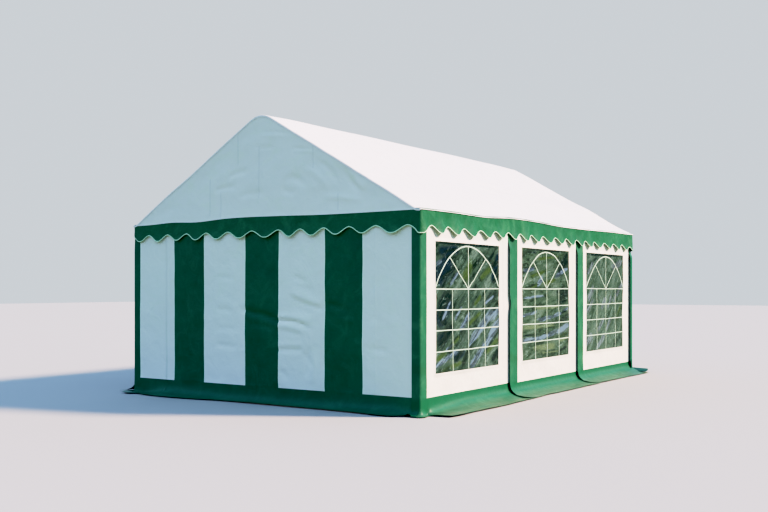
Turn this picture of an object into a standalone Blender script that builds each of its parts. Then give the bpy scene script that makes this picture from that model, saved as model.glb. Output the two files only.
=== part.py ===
"""Marquee tent, 4 m x 6 m, ridge roof over a galvanised tube frame.

X runs across the tent, Y along it and Z up. The origin is on the ground, at
the middle of the plan. The front gable faces -Y. All lengths are in metres.
The walls hang on the outside of the posts, and each panel laps over the end
of the one before it, going round the tent anticlockwise from above, so the
whole plan has two-fold symmetry about Z.
"""
import math

import bmesh
import bpy
from mathutils import Matrix, Vector

for old in list(bpy.data.objects):
    bpy.data.objects.remove(old, do_unlink=True)

# ---------------------------------------------------------------- dimensions
HALF_W = 2.000            # outside of the side walls
HALF_L = 3.000            # outside of the end walls
BAY = 2.000               # spacing of the frames along the tent
WALL_TOP = 2.000          # top hem of the wall panels
FABRIC = 0.004            # thickness of the coated cloth, as modelled
CLEAR = 0.003             # thickness of the clear window sheet, as modelled
GAP = 0.0005              # clearance between neighbouring pieces

LAP = 0.102               # how far a panel's strip reaches past the corner or bay line
EAVES_Z = 2.015           # roof cover at the eaves
EAVES_X = 2.019           # roof cover's outer edge
RIDGE_SHARP_Z = 3.140     # where the two roof planes would meet
RIDGE_ROUND = 0.080       # half width of the rounded ridge
ROOF_K = (RIDGE_SHARP_Z - EAVES_Z) / EAVES_X
ROOF_COS = math.cos(math.atan(ROOF_K))

WIN_Y0, WIN_Y1 = 0.297, 1.657      # window, from the start of its bay
WIN_Z0, WIN_Z1 = 0.405, 1.717

FLAP_TOP = 0.170          # where the ground flap starts
FLAP_SIDE = 0.250         # how far the flap lies out along the sides
FLAP_END = 0.180          # how far it lies out along the ends
STRIP_FOOT = 0.055        # how far the corner strips spread at their foot
# the flap curls out from the wall and lies down: height, share of its reach
FLAP_Z = (0.145, 0.120, 0.070, 0.043, 0.018, 0.0048)
FLAP_G = (0.010, 0.035, 0.140, 0.330, 0.620, 1.000)

VALANCE_OUT = 0.015       # valance's inner face, outside the wall
VALANCE_TOP = EAVES_Z - 0.0055
VALANCE_MEAN = 1.825      # middle height of the scalloped edge
VALANCE_AMP = 0.042
SCALLOP = 1.0 / 3.0       # pitch of the scallops
SCALLOP_STEPS = 6         # columns to each scallop

TUBE_R = 0.019            # 38 mm galvanised tube
TUBE_SIDES = 16
POST_X = HALF_W - FABRIC - 0.0025 - TUBE_R
POST_Y = HALF_L - FABRIC - 0.0025 - TUBE_R
RAIL_Z = 1.972            # eave rails, below the lowest sag of the cover at the eaves
TIE_Z = 1.930
PLATE = 0.120             # side of a foot plate
PLATE_T = 0.005
FRAME_Y = (-POST_Y, -HALF_L + BAY, HALF_L - BAY, POST_Y)
FRAME_NAMES = ("front", "mid_front", "mid_rear", "rear")

TURN = Matrix.Rotation(math.pi, 4, "Z")


# ----------------------------------------------------------------- materials
def material(name, colour, rough, metal=0.0, alpha=1.0):
    mat = bpy.data.materials.new(name)
    mat.use_nodes = True
    shader = mat.node_tree.nodes["Principled BSDF"]
    shader.inputs["Base Color"].default_value = (*colour, 1.0)
    shader.inputs["Roughness"].default_value = rough
    shader.inputs["Metallic"].default_value = metal
    shader.inputs["Alpha"].default_value = alpha
    return mat


COLOURS = {
    "galvanised": ((0.56, 0.58, 0.60), 0.42, 1.0, 1.0),
    "roof_cloth": ((0.86, 0.86, 0.85), 0.45, 0.0, 1.0),
    "panel_cloth": ((0.84, 0.84, 0.82), 0.42, 0.0, 1.0),
    "striped_cloth": ((0.80, 0.82, 0.81), 0.42, 0.0, 1.0),
    "green_cloth": ((0.010, 0.120, 0.065), 0.42, 0.0, 1.0),
    "clear_sheet": ((0.85, 0.90, 0.90), 0.06, 0.0, 0.35),
}


# ------------------------------------------------------------------- meshing
def add_object(name, bm, look, smooth=False):
    bmesh.ops.recalc_face_normals(bm, faces=bm.faces[:])
    mesh = bpy.data.meshes.new(name)
    bm.to_mesh(mesh)
    bm.free()
    obj = bpy.data.objects.new(name, mesh)
    bpy.context.scene.collection.objects.link(obj)
    colour, rough, metal, alpha = COLOURS[look]
    mesh.materials.append(material(name + "_mat", colour, rough, metal, alpha))
    if smooth:
        mesh.shade_smooth()
        mesh.set_sharp_from_angle(angle=math.radians(40.0))
    return obj


def turned_copy(source, name, look):
    """The same piece on the opposite side, turned half way round Z."""
    obj = bpy.data.objects.new(name, source.data.copy())
    obj.data.materials.clear()
    colour, rough, metal, alpha = COLOURS[look]
    obj.data.materials.append(material(name + "_mat", colour, rough, metal, alpha))
    bpy.context.scene.collection.objects.link(obj)
    obj.matrix_world = TURN @ source.matrix_world
    return obj


def solid_from_grids(outer, inner, skip=()):
    """A closed solid between two matching grids of points, less some cells."""
    bm = bmesh.new()
    made = {}

    def vert(side, i, j):
        key = (side, i, j)
        if key not in made:
            made[key] = bm.verts.new((outer, inner)[side][i][j])
        return made[key]

    cells = {(i, j) for i in range(len(outer) - 1) for j in range(len(outer[0]) - 1)}
    cells -= set(skip)
    for i, j in cells:
        ring = ((i, j), (i + 1, j), (i + 1, j + 1), (i, j + 1))
        bm.faces.new([vert(0, *p) for p in ring])
        bm.faces.new([vert(1, *p) for p in reversed(ring)])
        beside = ((i, j - 1), (i + 1, j), (i, j + 1), (i - 1, j))
        for k, other in enumerate(beside):
            if other not in cells:
                a, b = ring[k], ring[(k + 1) % 4]
                bm.faces.new([vert(0, *b), vert(0, *a), vert(1, *a), vert(1, *b)])
    return bm


def offset_grid(grid, depth, out_hint):
    """Each point moved in by depth, square to the faces that meet at it."""
    ni, nj = len(grid), len(grid[0])
    normals = {}
    for i in range(ni - 1):
        for j in range(nj - 1):
            a, b = grid[i][j], grid[i + 1][j]
            c, d = grid[i + 1][j + 1], grid[i][j + 1]
            n = (c - a).cross(d - b)
            n.normalize()
            if n.dot(out_hint[i]) < 0.0:
                n.negate()
            normals[(i, j)] = n
    result = []
    for i in range(ni):
        row = []
        for j in range(nj):
            near = [normals[(p, q)] for p in (i - 1, i) for q in (j - 1, j) if (p, q) in normals]
            n = Vector((0.0, 0.0, 0.0))
            for v in near:
                n += v
            n.normalize()
            stretch = 1.0 / max(0.68, min(n.dot(v) for v in near))
            p = grid[i][j] - n * depth * stretch
            p.z = max(p.z, 0.0004)
            row.append(p)
        result.append(row)
    return result


# ------------------------------------------------------------ tubes and posts
def ring(centre, u, v, radius, sides):
    return [centre + (u * math.cos(a) + v * math.sin(a)) * radius
            for a in (2.0 * math.pi * k / sides for k in range(sides))]


def tube(name, start, end, radius=TUBE_R, sides=TUBE_SIDES):
    start, end = Vector(start), Vector(end)
    way = (end - start).normalized()
    side = Vector((0, 0, 1)) if abs(way.z) < 0.9 else Vector((1, 0, 0))
    u = way.cross(side).normalized()
    v = way.cross(u).normalized()
    bm = bmesh.new()
    low = [bm.verts.new(p) for p in ring(start, u, v, radius, sides)]
    high = [bm.verts.new(p) for p in ring(end, u, v, radius, sides)]
    for k in range(sides):
        m = (k + 1) % sides
        bm.faces.new((low[k], low[m], high[m], high[k]))
    bm.faces.new(low[::-1])
    bm.faces.new(high)
    return add_object(name, bm, "galvanised", smooth=True)


def post(name, x, y):
    """A vertical tube that stands on a square plate set inwards of the wall."""
    sign_x = math.copysign(1.0, x)
    plate_cx = sign_x * (HALF_W - FABRIC - 0.0015 - PLATE / 2)
    plate_cy = y
    if abs(y) > HALF_L - 0.1:
        plate_cy = math.copysign(HALF_L - FABRIC - 0.0015 - PLATE / 2, y)
    bm = bmesh.new()
    top_z = RAIL_Z - TUBE_R - GAP
    upper = [bm.verts.new(p) for p in
             ring(Vector((x, y, top_z)), Vector((1, 0, 0)), Vector((0, 1, 0)), TUBE_R, TUBE_SIDES)]
    lower = [bm.verts.new(p) for p in
             ring(Vector((x, y, PLATE_T)), Vector((1, 0, 0)), Vector((0, 1, 0)), TUBE_R, TUBE_SIDES)]
    for k in range(TUBE_SIDES):
        m = (k + 1) % TUBE_SIDES
        bm.faces.new((lower[k], lower[m], upper[m], upper[k]))
    bm.faces.new(upper)
    # the plate's top face is the ring between its square edge and the tube
    h = PLATE / 2
    corners = [(h, h), (-h, h), (-h, -h), (h, -h)]
    top = [bm.verts.new((plate_cx + a, plate_cy + b, PLATE_T)) for a, b in corners]
    low = [bm.verts.new((plate_cx + a, plate_cy + b, 0.0)) for a, b in corners]
    for k in range(4):
        m = (k + 1) % 4
        bm.faces.new((top[k], low[k], low[m], top[m]))
    bm.faces.new(low[::-1])
    q = TUBE_SIDES // 4
    for c in range(4):
        arc = [lower[(c * q + k) % TUBE_SIDES] for k in range(q + 1)]
        for k in range(q):
            bm.faces.new((top[c], arc[k + 1], arc[k]))
        bm.faces.new((top[c], top[(c + 1) % 4], arc[q]))
    return add_object(name, bm, "galvanised", smooth=True)


for side, sx in (("right", 1.0), ("left", -1.0)):
    for label, fy in zip(FRAME_NAMES, FRAME_Y):
        post("post_%s_%s" % (label, side), sx * POST_X, fy)

RIDGE_TOP = RIDGE_SHARP_Z - ROOF_K * RIDGE_ROUND / 2.0
RIDGE_Z = RIDGE_TOP - FABRIC / ROOF_COS - 0.001 - TUBE_R

tube("ridge_beam", (0.0, -POST_Y - TUBE_R, RIDGE_Z), (0.0, POST_Y + TUBE_R, RIDGE_Z))
for side, sx in (("right", 1.0), ("left", -1.0)):
    tube("eave_rail_" + side, (sx * POST_X, -POST_Y - TUBE_R, RAIL_Z),
         (sx * POST_X, POST_Y + TUBE_R, RAIL_Z))
    for label, fy in zip(FRAME_NAMES, FRAME_Y):
        foot = Vector((sx * POST_X, fy, RAIL_Z))
        head = Vector((0.0, fy, RIDGE_Z))
        way = (head - foot).normalized()
        reach = TUBE_R + GAP
        tube("rafter_%s_%s" % (label, side), foot + way * reach, head - way * reach)
for label, sy in (("front", -1.0), ("rear", 1.0)):
    inner = POST_X - TUBE_R - GAP
    tube("tie_beam_" + label, (-inner, sy * POST_Y, TIE_Z), (inner, sy * POST_Y, TIE_Z))


# ------------------------------------------------------------------ the cover
def roof_z(x):
    """Outside of the roof cover: two planes, rounded over the ridge."""
    a = abs(x)
    if a >= RIDGE_ROUND:
        return RIDGE_SHARP_Z - ROOF_K * a
    return RIDGE_TOP - ROOF_K * a * a / (2.0 * RIDGE_ROUND)


def roof_slope(name):
    xs = (GAP / 2, 0.02, 0.04, 0.06, RIDGE_ROUND, 1.0, EAVES_X)
    ends = (-HALF_L - VALANCE_OUT - FABRIC, HALF_L + VALANCE_OUT + FABRIC)
    drop = FABRIC / ROOF_COS
    outer = [[Vector((x, y, roof_z(x))) for y in ends] for x in xs]
    inner = [[Vector((x, y, roof_z(x) - drop)) for y in ends] for x in xs]
    return add_object(name, solid_from_grids(outer, inner), "roof_cloth", smooth=True)


def gable(name):
    xs = (-HALF_W, -1.0, -RIDGE_ROUND, -0.04, 0.0, 0.04, RIDGE_ROUND, 1.0, HALF_W)
    drop = FABRIC / ROOF_COS + GAP
    rows = [[WALL_TOP + GAP, roof_z(x) - drop] for x in xs]
    outer = [[Vector((x, -HALF_L, z)) for z in row] for x, row in zip(xs, rows)]
    inner = [[Vector((x, -HALF_L + FABRIC, z)) for z in row] for x, row in zip(xs, rows)]
    return add_object(name, solid_from_grids(outer, inner), "roof_cloth")


def valance(name, point, length, start):
    """A hanging band whose lower edge runs in scallops. point(s, d) is the
    place in plan at s along the band and d out from the wall."""
    count = int(round(length / SCALLOP)) * SCALLOP_STEPS
    outer, inner = [], []
    for k in range(count + 1):
        s = start + (length - 2.0 * start) * k / count
        low = VALANCE_MEAN - VALANCE_AMP * math.cos(2.0 * math.pi * k / SCALLOP_STEPS)
        x, y = point(s, VALANCE_OUT + FABRIC)
        outer.append([Vector((x, y, low)), Vector((x, y, VALANCE_TOP))])
        x, y = point(s, VALANCE_OUT)
        inner.append([Vector((x, y, low)), Vector((x, y, VALANCE_TOP))])
    return add_object(name, solid_from_grids(outer, inner), "green_cloth")


side_cover = roof_slope("roof_slope_right")
turned_copy(side_cover, "roof_slope_left", "roof_cloth")
end_cover = gable("gable_front")
turned_copy(end_cover, "gable_rear", "roof_cloth")

long_valance = valance("valance_right",
                       lambda s, d: (HALF_W + d, -HALF_L + s),
                       2.0 * HALF_L, -VALANCE_OUT - FABRIC)
turned_copy(long_valance, "valance_left", "green_cloth")
short_valance = valance("valance_front",
                        lambda s, d: (-HALF_W + s, -HALF_L - d),
                        2.0 * HALF_W, -VALANCE_OUT + GAP)
turned_copy(short_valance, "valance_rear", "green_cloth")


# ------------------------------------------------------------------ the walls
def curtain(name, path, heights, look, skip=()):
    """A hanging sheet. path holds, for each column, its place in plan and how
    far its foot spreads out in X and Y; heights are taken top to bottom."""
    grid, hints = [], []
    for (x, y), (dx, dy) in path:
        column = []
        for z in heights:
            g = 0.0
            if z < FLAP_TOP:
                g = FLAP_G[FLAP_Z.index(z)]
            column.append(Vector((x + dx * g, y + dy * g, z)))
        grid.append(column)
    for (a, _), (b, _) in zip(path, path[1:]):
        way = Vector((b[0] - a[0], b[1] - a[1], 0.0)).normalized()
        hints.append(Vector((way.y, -way.x, 0.35)))
    inner = offset_grid(grid, FABRIC, hints)
    return add_object(name, solid_from_grids(grid, inner, skip), look)


W, L = HALF_W, HALF_L
SIDE_HEIGHTS = (WALL_TOP, WIN_Z1, WIN_Z0, FLAP_TOP) + FLAP_Z
END_HEIGHTS = (WALL_TOP, FLAP_TOP) + FLAP_Z
OUT = (FLAP_SIDE, 0.0)


def side_panel(name, bay):
    y0 = -L + bay * BAY
    end = ((W, y0 + BAY - LAP - GAP), OUT)
    window = [((W, y0 + WIN_Y0), OUT), ((W, y0 + WIN_Y1), OUT)]
    if bay == 0:
        path = [((W - LAP, -L), (0.0, -STRIP_FOOT)),
                ((W - 0.05, -L), (0.0, -STRIP_FOOT)),
                ((W, -L), (0.045, -0.045)),
                ((W, -L + 0.06), (STRIP_FOOT, 0.0)),
                ((W, -L + 0.12), (STRIP_FOOT, 0.0)),
                ((W, -L + 0.15), OUT)] + window + [end]
    else:
        path = [((W, y0 - LAP), OUT)] + window + [end]
    first = len(path) - 3
    panel = curtain(name, path, SIDE_HEIGHTS, "panel_cloth", skip={(first, 1)})
    return panel


def window_sheet(name, bay):
    y0 = -L + bay * BAY
    ys = (y0 + WIN_Y0 + GAP, y0 + WIN_Y1 - GAP)
    zs = (WIN_Z0 + GAP, WIN_Z1 - GAP)
    outer = [[Vector((W - GAP, y, z)) for z in zs] for y in ys]
    inner = [[Vector((W - GAP - CLEAR, y, z)) for z in zs] for y in ys]
    return add_object(name, solid_from_grids(outer, inner), "clear_sheet")


for n in range(3):
    right = side_panel("side_panel_right_%d" % (n + 1), n)
    turned_copy(right, "side_panel_left_%d" % (n + 1), "panel_cloth")
    right = window_sheet("window_right_%d" % (n + 1), n)
    turned_copy(right, "window_left_%d" % (n + 1), "clear_sheet")

END_PATH = [((-W, -L + LAP), (-FLAP_SIDE, 0.0)),
            ((-W, -L + 0.05), (-0.200, -0.060)),
            ((-W, -L), (-0.140, -0.160)),
            ((-W + 0.06, -L), (-0.050, -FLAP_END)),
            ((-W + 0.15, -L), (0.0, -FLAP_END)),
            ((0.0, -L), (0.0, -FLAP_END)),
            ((W - 0.30, -L), (0.0, -FLAP_END)),
            ((W - 0.20, -L), (0.0, -0.120)),
            ((W - LAP - GAP, -L), (0.0, -STRIP_FOOT))]
front = curtain("front_wall", END_PATH, END_HEIGHTS, "striped_cloth")
turned_copy(front, "rear_wall", "striped_cloth")
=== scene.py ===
import math

import bpy
import numpy as np
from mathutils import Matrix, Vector


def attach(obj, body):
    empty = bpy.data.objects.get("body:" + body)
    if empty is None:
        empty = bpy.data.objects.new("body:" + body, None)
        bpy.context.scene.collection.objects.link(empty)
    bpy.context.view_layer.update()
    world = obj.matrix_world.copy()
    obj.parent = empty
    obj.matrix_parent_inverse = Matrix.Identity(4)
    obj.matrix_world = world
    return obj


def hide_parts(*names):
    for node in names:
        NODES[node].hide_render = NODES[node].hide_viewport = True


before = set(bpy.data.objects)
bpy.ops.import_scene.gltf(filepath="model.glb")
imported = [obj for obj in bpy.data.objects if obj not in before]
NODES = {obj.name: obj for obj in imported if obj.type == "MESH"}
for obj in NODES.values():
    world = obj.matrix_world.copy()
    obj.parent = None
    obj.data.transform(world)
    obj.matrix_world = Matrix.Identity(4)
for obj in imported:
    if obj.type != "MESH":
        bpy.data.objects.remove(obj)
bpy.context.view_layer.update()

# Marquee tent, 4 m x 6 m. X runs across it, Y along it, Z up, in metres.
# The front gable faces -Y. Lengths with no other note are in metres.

# ------------------------------------------------------------------ sizes
HALF_W, HALF_L = 2.000, 3.000          # outside faces of the walls
BAY = 2.000
WALL_TOP = 2.004
EAVES = 2.019                          # outer edge of the roof cover
RIDGE_SHARP_Z, RIDGE_ROUND = 3.140, 0.080
ROOF_K = 1.110 / 2.019
TUBE_R = 0.019
POST_X, POST_Y = 1.9745, 2.9745
FRAME_Y = (-POST_Y, -1.0, 1.0, POST_Y)
RAIL_Z = 1.972
RIDGE_Z = 3.0931

WIN_U0, WIN_U1 = 0.297, 1.657          # window, from the start of its bay
WIN_Z0, WIN_TOPS = 0.400, (1.717, 1.722, 1.725)
FLAP_TOP = 0.170
CLOTH = 0.0015                         # cloth as drawn
STRIPES = (-1.891, -1.326, -0.857, -0.238, 0.234, 0.852, 1.324, 1.916)


# ------------------------------------------------------- small mathematics
def smooth(t):
    t = np.clip(t, 0.0, 1.0)
    return t * t * (3.0 - 2.0 * t)


def hump(x, centre, width):
    return np.exp(-(((x - centre) / width) ** 2))


def curve(x, points):
    """A smooth line through a few points."""
    px = np.array([p[0] for p in points], float)
    py = np.array([p[1] for p in points], float)
    m = np.gradient(py, px)
    x = np.clip(np.asarray(x, float), px[0], px[-1])
    i = np.clip(np.searchsorted(px, x, side="right") - 1, 0, len(px) - 2)
    h = px[i + 1] - px[i]
    t = (x - px[i]) / h
    t2, t3 = t * t, t * t * t
    return ((2 * t3 - 3 * t2 + 1) * py[i] + (t3 - 2 * t2 + t) * h * m[i]
            + (3 * t2 - 2 * t3) * py[i + 1] + (t3 - t2) * h * m[i + 1])


def _lattice(ix, iy, seed):
    h = (ix * 374761393 + iy * 668265263 + seed * 1442695041) & 0xFFFFFFFF
    h = ((h ^ (h >> 13)) * 1274126177) & 0xFFFFFFFF
    h = (h ^ (h >> 16)) & 0xFFFFFF
    return h / float(0xFFFFFF)


def wave_noise(x, y, seed=0):
    """Smooth noise from about -1 to 1, the same each time."""
    x, y = np.broadcast_arrays(np.asarray(x, float), np.asarray(y, float))
    xi, yi = np.floor(x).astype(np.int64), np.floor(y).astype(np.int64)
    fx, fy = x - xi, y - yi
    u = fx * fx * fx * (fx * (fx * 6 - 15) + 10)
    v = fy * fy * fy * (fy * (fy * 6 - 15) + 10)

    def slope(ix, iy, dx, dy):
        a = _lattice(ix, iy, seed) * 2.0 * np.pi
        return np.cos(a) * dx + np.sin(a) * dy

    a = slope(xi, yi, fx, fy)
    b = slope(xi + 1, yi, fx - 1, fy)
    c = slope(xi, yi + 1, fx, fy - 1)
    d = slope(xi + 1, yi + 1, fx - 1, fy - 1)
    top = a + (b - a) * u
    return 1.45 * (top + ((c + (d - c) * u) - top) * v)


def layered(x, y, seed=0, octaves=3, gain=0.5):
    total, size, scale = 0.0, 1.0, 1.0
    for k in range(octaves):
        total = total + size * wave_noise(x * scale, y * scale, seed + 17 * k)
        size *= gain
        scale *= 2.07
    return total


def ridged(x, y, seed=0, octaves=2):
    """Sharp-crested folds, from 0 to about 1."""
    total, size, scale = 0.0, 0.65, 1.0
    for k in range(octaves):
        n = 1.0 - np.abs(wave_noise(x * scale, y * scale, seed + 31 * k))
        total = total + size * n * n
        size *= 0.5
        scale *= 2.1
    return total


def crease(x, y, x0, y0, x1, y1, width, depth, bend=0.0):
    """One soft fold along a line, fading out at its two ends."""
    dx, dy = x1 - x0, y1 - y0
    length = math.hypot(dx, dy)
    ex, ey = dx / length, dy / length
    along = ((x - x0) * ex + (y - y0) * ey) / length
    off = -(x - x0) * ey + (y - y0) * ex - bend * 4.0 * along * (1.0 - along)
    taper = smooth((along + 0.15) / 0.35) * smooth((1.15 - along) / 0.35)
    return depth * np.exp(-((off / width) ** 2)) * taper


def spaced(breaks, step):
    """Numbers through all the breaks with no gap over step."""
    out = [breaks[0]]
    for a, b in zip(breaks, breaks[1:]):
        n = max(1, int(math.ceil((b - a) / step - 1e-6)))
        out += [a + (b - a) * (k + 1) / n for k in range(n)]
    return np.array(out)


# ----------------------------------------------------------- mesh building
def finish_piece(obj, replaces=()):
    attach(obj, "root")
    if replaces:
        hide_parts(*replaces)
    return obj


def mesh_object(name, verts, faces, mats, index=None, uv=None, marks=None):
    me = bpy.data.meshes.new(name)
    me.from_pydata(np.asarray(verts, float).tolist(), [], [list(map(int, f)) for f in faces])
    for m in mats:
        me.materials.append(m)
    if index is not None:
        me.polygons.foreach_set("material_index", np.asarray(index, np.int32))
    if uv is not None:
        layer = me.uv_layers.new(name="cloth")
        layer.data.foreach_set("uv", np.asarray(uv, np.float32).ravel())
        for label, values in (marks or {}).items():
            layer = me.uv_layers.new(name=label)
            layer.data.foreach_set("uv", np.asarray(values, np.float32).ravel())
    me.update()
    obj = bpy.data.objects.new(name, me)
    bpy.context.scene.collection.objects.link(obj)
    return obj


def sheet_object(name, quads, mats, index=None, uv=None, thickness=CLOTH, angle=42.0, marks=None):
    """One thin closed sheet from loose quads (n, 4, 3) whose fronts face out.
    Corners at the same place are joined."""
    quads = np.asarray(quads, float)
    n = len(quads)
    key = np.round(quads.reshape(-1, 3) / 2e-6).astype(np.int64)
    _, first, inverse = np.unique(key, axis=0, return_index=True, return_inverse=True)
    inverse = inverse.reshape(n, 4)
    verts = quads.reshape(-1, 3)[first]
    faces, keep_mat, keep_uv = [], [], []
    uvq = None if uv is None else np.asarray(uv, float).reshape(n, 4, 2)
    marks = {label: np.asarray(m, float).reshape(n, 4, 2) for label, m in (marks or {}).items()}
    kept = {label: [] for label in marks}
    same = (inverse == np.roll(inverse, 1, axis=1)).any(1)
    for k in range(n):
        ring = inverse[k].tolist()
        if same[k]:
            cut = [c for c in range(4) if ring[c] != ring[c - 1]]
            if len(cut) < 3:
                continue
        else:
            cut = (0, 1, 2, 3)
        faces.append([ring[c] for c in cut])
        if index is not None:
            keep_mat.append(int(index[k]))
        if uvq is not None:
            keep_uv += [uvq[k, c] for c in cut]
        for label, values in marks.items():
            kept[label] += [values[k, c] for c in cut]
    obj = mesh_object(name, verts, faces, mats,
                      keep_mat if index is not None else None,
                      keep_uv if uvq is not None else None, kept)
    if thickness:
        mod = obj.modifiers.new("thickness", "SOLIDIFY")
        mod.thickness = thickness
        mod.offset = -1.0
        mod.use_rim = True
        settle(obj, angle)
    else:
        obj.data.shade_smooth()
        obj.data.set_sharp_from_angle(angle=math.radians(angle))
    return obj


def settle(obj, angle=42.0):
    """Applies the modifiers and shades the result smooth but for its sharp edges."""
    bpy.context.view_layer.update()
    graph = bpy.context.evaluated_depsgraph_get()
    made = bpy.data.meshes.new_from_object(obj.evaluated_get(graph))
    old = obj.data
    obj.modifiers.clear()
    obj.data = made
    made.name = obj.name
    bpy.data.meshes.remove(old)
    made.shade_smooth()
    made.set_sharp_from_angle(angle=math.radians(angle))
    return obj


def grid_quads(points):
    """Quads (n, 4, 3) of a grid of points (rows, columns, 3)."""
    p = np.asarray(points, float)
    return np.stack([p[:-1, :-1], p[:-1, 1:], p[1:, 1:], p[1:, :-1]], axis=2).reshape(-1, 4, p.shape[2])


# -------------------------------------------------------------- materials
class Look:
    """A small helper that lays out shader nodes."""

    def __init__(self, name):
        self.mat = bpy.data.materials.new(name)
        self.mat.use_nodes = True
        self.tree = self.mat.node_tree
        self.tree.nodes.clear()
        self.out = self.tree.nodes.new("ShaderNodeOutputMaterial")
        self.shader = self.tree.nodes.new("ShaderNodeBsdfPrincipled")
        self.tree.links.new(self.shader.outputs["BSDF"], self.out.inputs["Surface"])

    def link(self, a, b):
        self.tree.links.new(a, b)

    def node(self, kind, **settings):
        n = self.tree.nodes.new(kind)
        for k, v in settings.items():
            setattr(n, k, v)
        return n

    def place(self):
        return self.node("ShaderNodeTexCoord").outputs["Object"]

    def cloth(self):
        return self.node("ShaderNodeUVMap", uv_map="cloth").outputs["UV"]

    def mapped(self, vector, scale=(1, 1, 1), turn=(0, 0, 0), shift=(0, 0, 0)):
        m = self.node("ShaderNodeMapping")
        m.inputs["Scale"].default_value = scale
        m.inputs["Rotation"].default_value = turn
        m.inputs["Location"].default_value = shift
        self.link(vector, m.inputs["Vector"])
        return m.outputs["Vector"]

    def noise(self, vector, scale, detail=3.0, rough=0.5, distortion=0.0):
        n = self.node("ShaderNodeTexNoise")
        n.inputs["Scale"].default_value = scale
        n.inputs["Detail"].default_value = detail
        n.inputs["Roughness"].default_value = rough
        n.inputs["Distortion"].default_value = distortion
        self.link(vector, n.inputs["Vector"])
        return n.outputs["Fac"]

    def bands(self, vector, period, along="X", distortion=0.0):
        n = self.node("ShaderNodeTexWave", wave_type="BANDS", bands_direction=along, wave_profile="SIN")
        n.inputs["Scale"].default_value = 2.0 * math.pi / 20.0 / period
        n.inputs["Distortion"].default_value = distortion
        n.inputs["Detail"].default_value = 1.0
        self.link(vector, n.inputs["Vector"])
        return n.outputs["Fac"]

    def math(self, op, a, b=None, clamp=False):
        n = self.node("ShaderNodeMath", operation=op)
        n.use_clamp = clamp
        for k, v in ((0, a), (1, b)):
            if v is None:
                continue
            if isinstance(v, (int, float)):
                n.inputs[k].default_value = v
            else:
                self.link(v, n.inputs[k])
        return n.outputs[0]

    def span(self, value, a, b, c=0.0, d=1.0):
        n = self.node("ShaderNodeMapRange")
        n.inputs["From Min"].default_value = a
        n.inputs["From Max"].default_value = b
        n.inputs["To Min"].default_value = c
        n.inputs["To Max"].default_value = d
        self.link(value, n.inputs["Value"])
        return n.outputs["Result"]

    def mix(self, factor, a, b, kind="MIX"):
        n = self.node("ShaderNodeMix", data_type="RGBA", blend_type=kind)
        for socket, v in ((n.inputs[0], factor), (n.inputs[6], a), (n.inputs[7], b)):
            if isinstance(v, (int, float)):
                socket.default_value = v
            elif isinstance(v, tuple):
                socket.default_value = (*v, 1.0)
            else:
                self.link(v, socket)
        return n.outputs[2]

    def split(self, vector):
        n = self.node("ShaderNodeSeparateXYZ")
        self.link(vector, n.inputs[0])
        return n.outputs

    def bump(self, height, strength, distance, normal=None):
        n = self.node("ShaderNodeBump")
        n.inputs["Strength"].default_value = strength
        n.inputs["Distance"].default_value = distance
        self.link(height, n.inputs["Height"])
        if normal is not None:
            self.link(normal, n.inputs["Normal"])
        return n.outputs["Normal"]

    def set(self, **values):
        for k, v in values.items():
            socket = self.shader.inputs[k.replace("_", " ")]
            if isinstance(v, (int, float)):
                socket.default_value = v
            elif isinstance(v, tuple):
                socket.default_value = (*v, 1.0) if len(v) == 3 else v
            else:
                self.link(v, socket)


def weave(look, coat=0.25, period=0.0024):
    """The fine over-and-under of a coated cloth; coat is not used."""
    uv = look.cloth()
    a = look.bands(uv, period, "X")
    b = look.bands(uv, period, "Y")
    both = look.math("MULTIPLY", a, b)
    other = look.math("MULTIPLY", look.math("SUBTRACT", 1.0, a), look.math("SUBTRACT", 1.0, b))
    return look.math("ADD", both, other)


def white_cloth(name, base=(0.80, 0.80, 0.785), patch=(0.765, 0.790, 0.735), grime=1.0, crumple=1.0, painted_foot_light=None):
    k = Look(name)
    at = k.place()
    cloud = k.noise(at, 1.3, 4.0, 0.55)
    fine = k.noise(k.mapped(at, (1, 1, 0.35)), 9.0, 4.0, 0.6)
    colour = k.mix(k.span(cloud, 0.35, 0.75), base, tuple(c * 0.975 for c in base))
    # creamy patches where the coating is thin or creased
    creamy = k.noise(k.mapped(at, (1.0, 1.0, 1.7), (0.0, 0.5, 0.0)), 3.4, 4.0, 0.62, 0.8)
    colour = k.mix(k.math("MULTIPLY", k.span(creamy, 0.50, 0.70), 0.75), colour, patch)
    colour = k.mix(k.math("MULTIPLY", k.span(fine, 0.52, 0.80), 0.30), colour, tuple(c * 0.94 for c in patch))
    # dust that settles near the ground
    height = k.split(at)[2]
    if painted_foot_light:
        # painted light: the cloth is drawn cooler and a little lighter towards its foot and towards -X
        foot_light_share = k.math("MULTIPLY", k.span(height, 1.20, 0.25), k.span(k.split(at)[0], 1.30, -0.30))
        colour = k.mix(foot_light_share, colour, painted_foot_light)
    low = k.math("MULTIPLY", k.span(height, 0.55, 0.15), k.span(k.noise(at, 5.0, 5.0, 0.65), 0.45, 0.75))
    colour = k.mix(k.math("MULTIPLY", low, 0.16 * grime), colour, (0.60, 0.59, 0.52))
    threads = weave(k)
    colour = k.mix(k.math("MULTIPLY", threads, 0.05), colour, tuple(c * 0.88 for c in base))
    normal = k.bump(k.noise(k.mapped(at, (1.0, 1.0, 0.8), (0.4, 0.3, 0.0)), 5.5, 3.0, 0.5, 0.7), 0.42 * crumple, 0.016)
    normal = k.bump(k.noise(at, 17.0, 5.0, 0.58, 0.4), 0.30 * crumple, 0.006, normal)
    normal = k.bump(k.noise(at, 95.0, 3.0, 0.6), 0.10 * crumple, 0.0010, normal)
    normal = k.bump(threads, 0.16, 0.0003, normal)
    k.set(Base_Color=colour, Roughness=k.span(fine, 0.3, 0.8, 0.42, 0.55), Normal=normal)
    k.set(Specular_IOR_Level=0.30, Sheen_Weight=0.04, Sheen_Roughness=0.5)
    return k.mat


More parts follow.
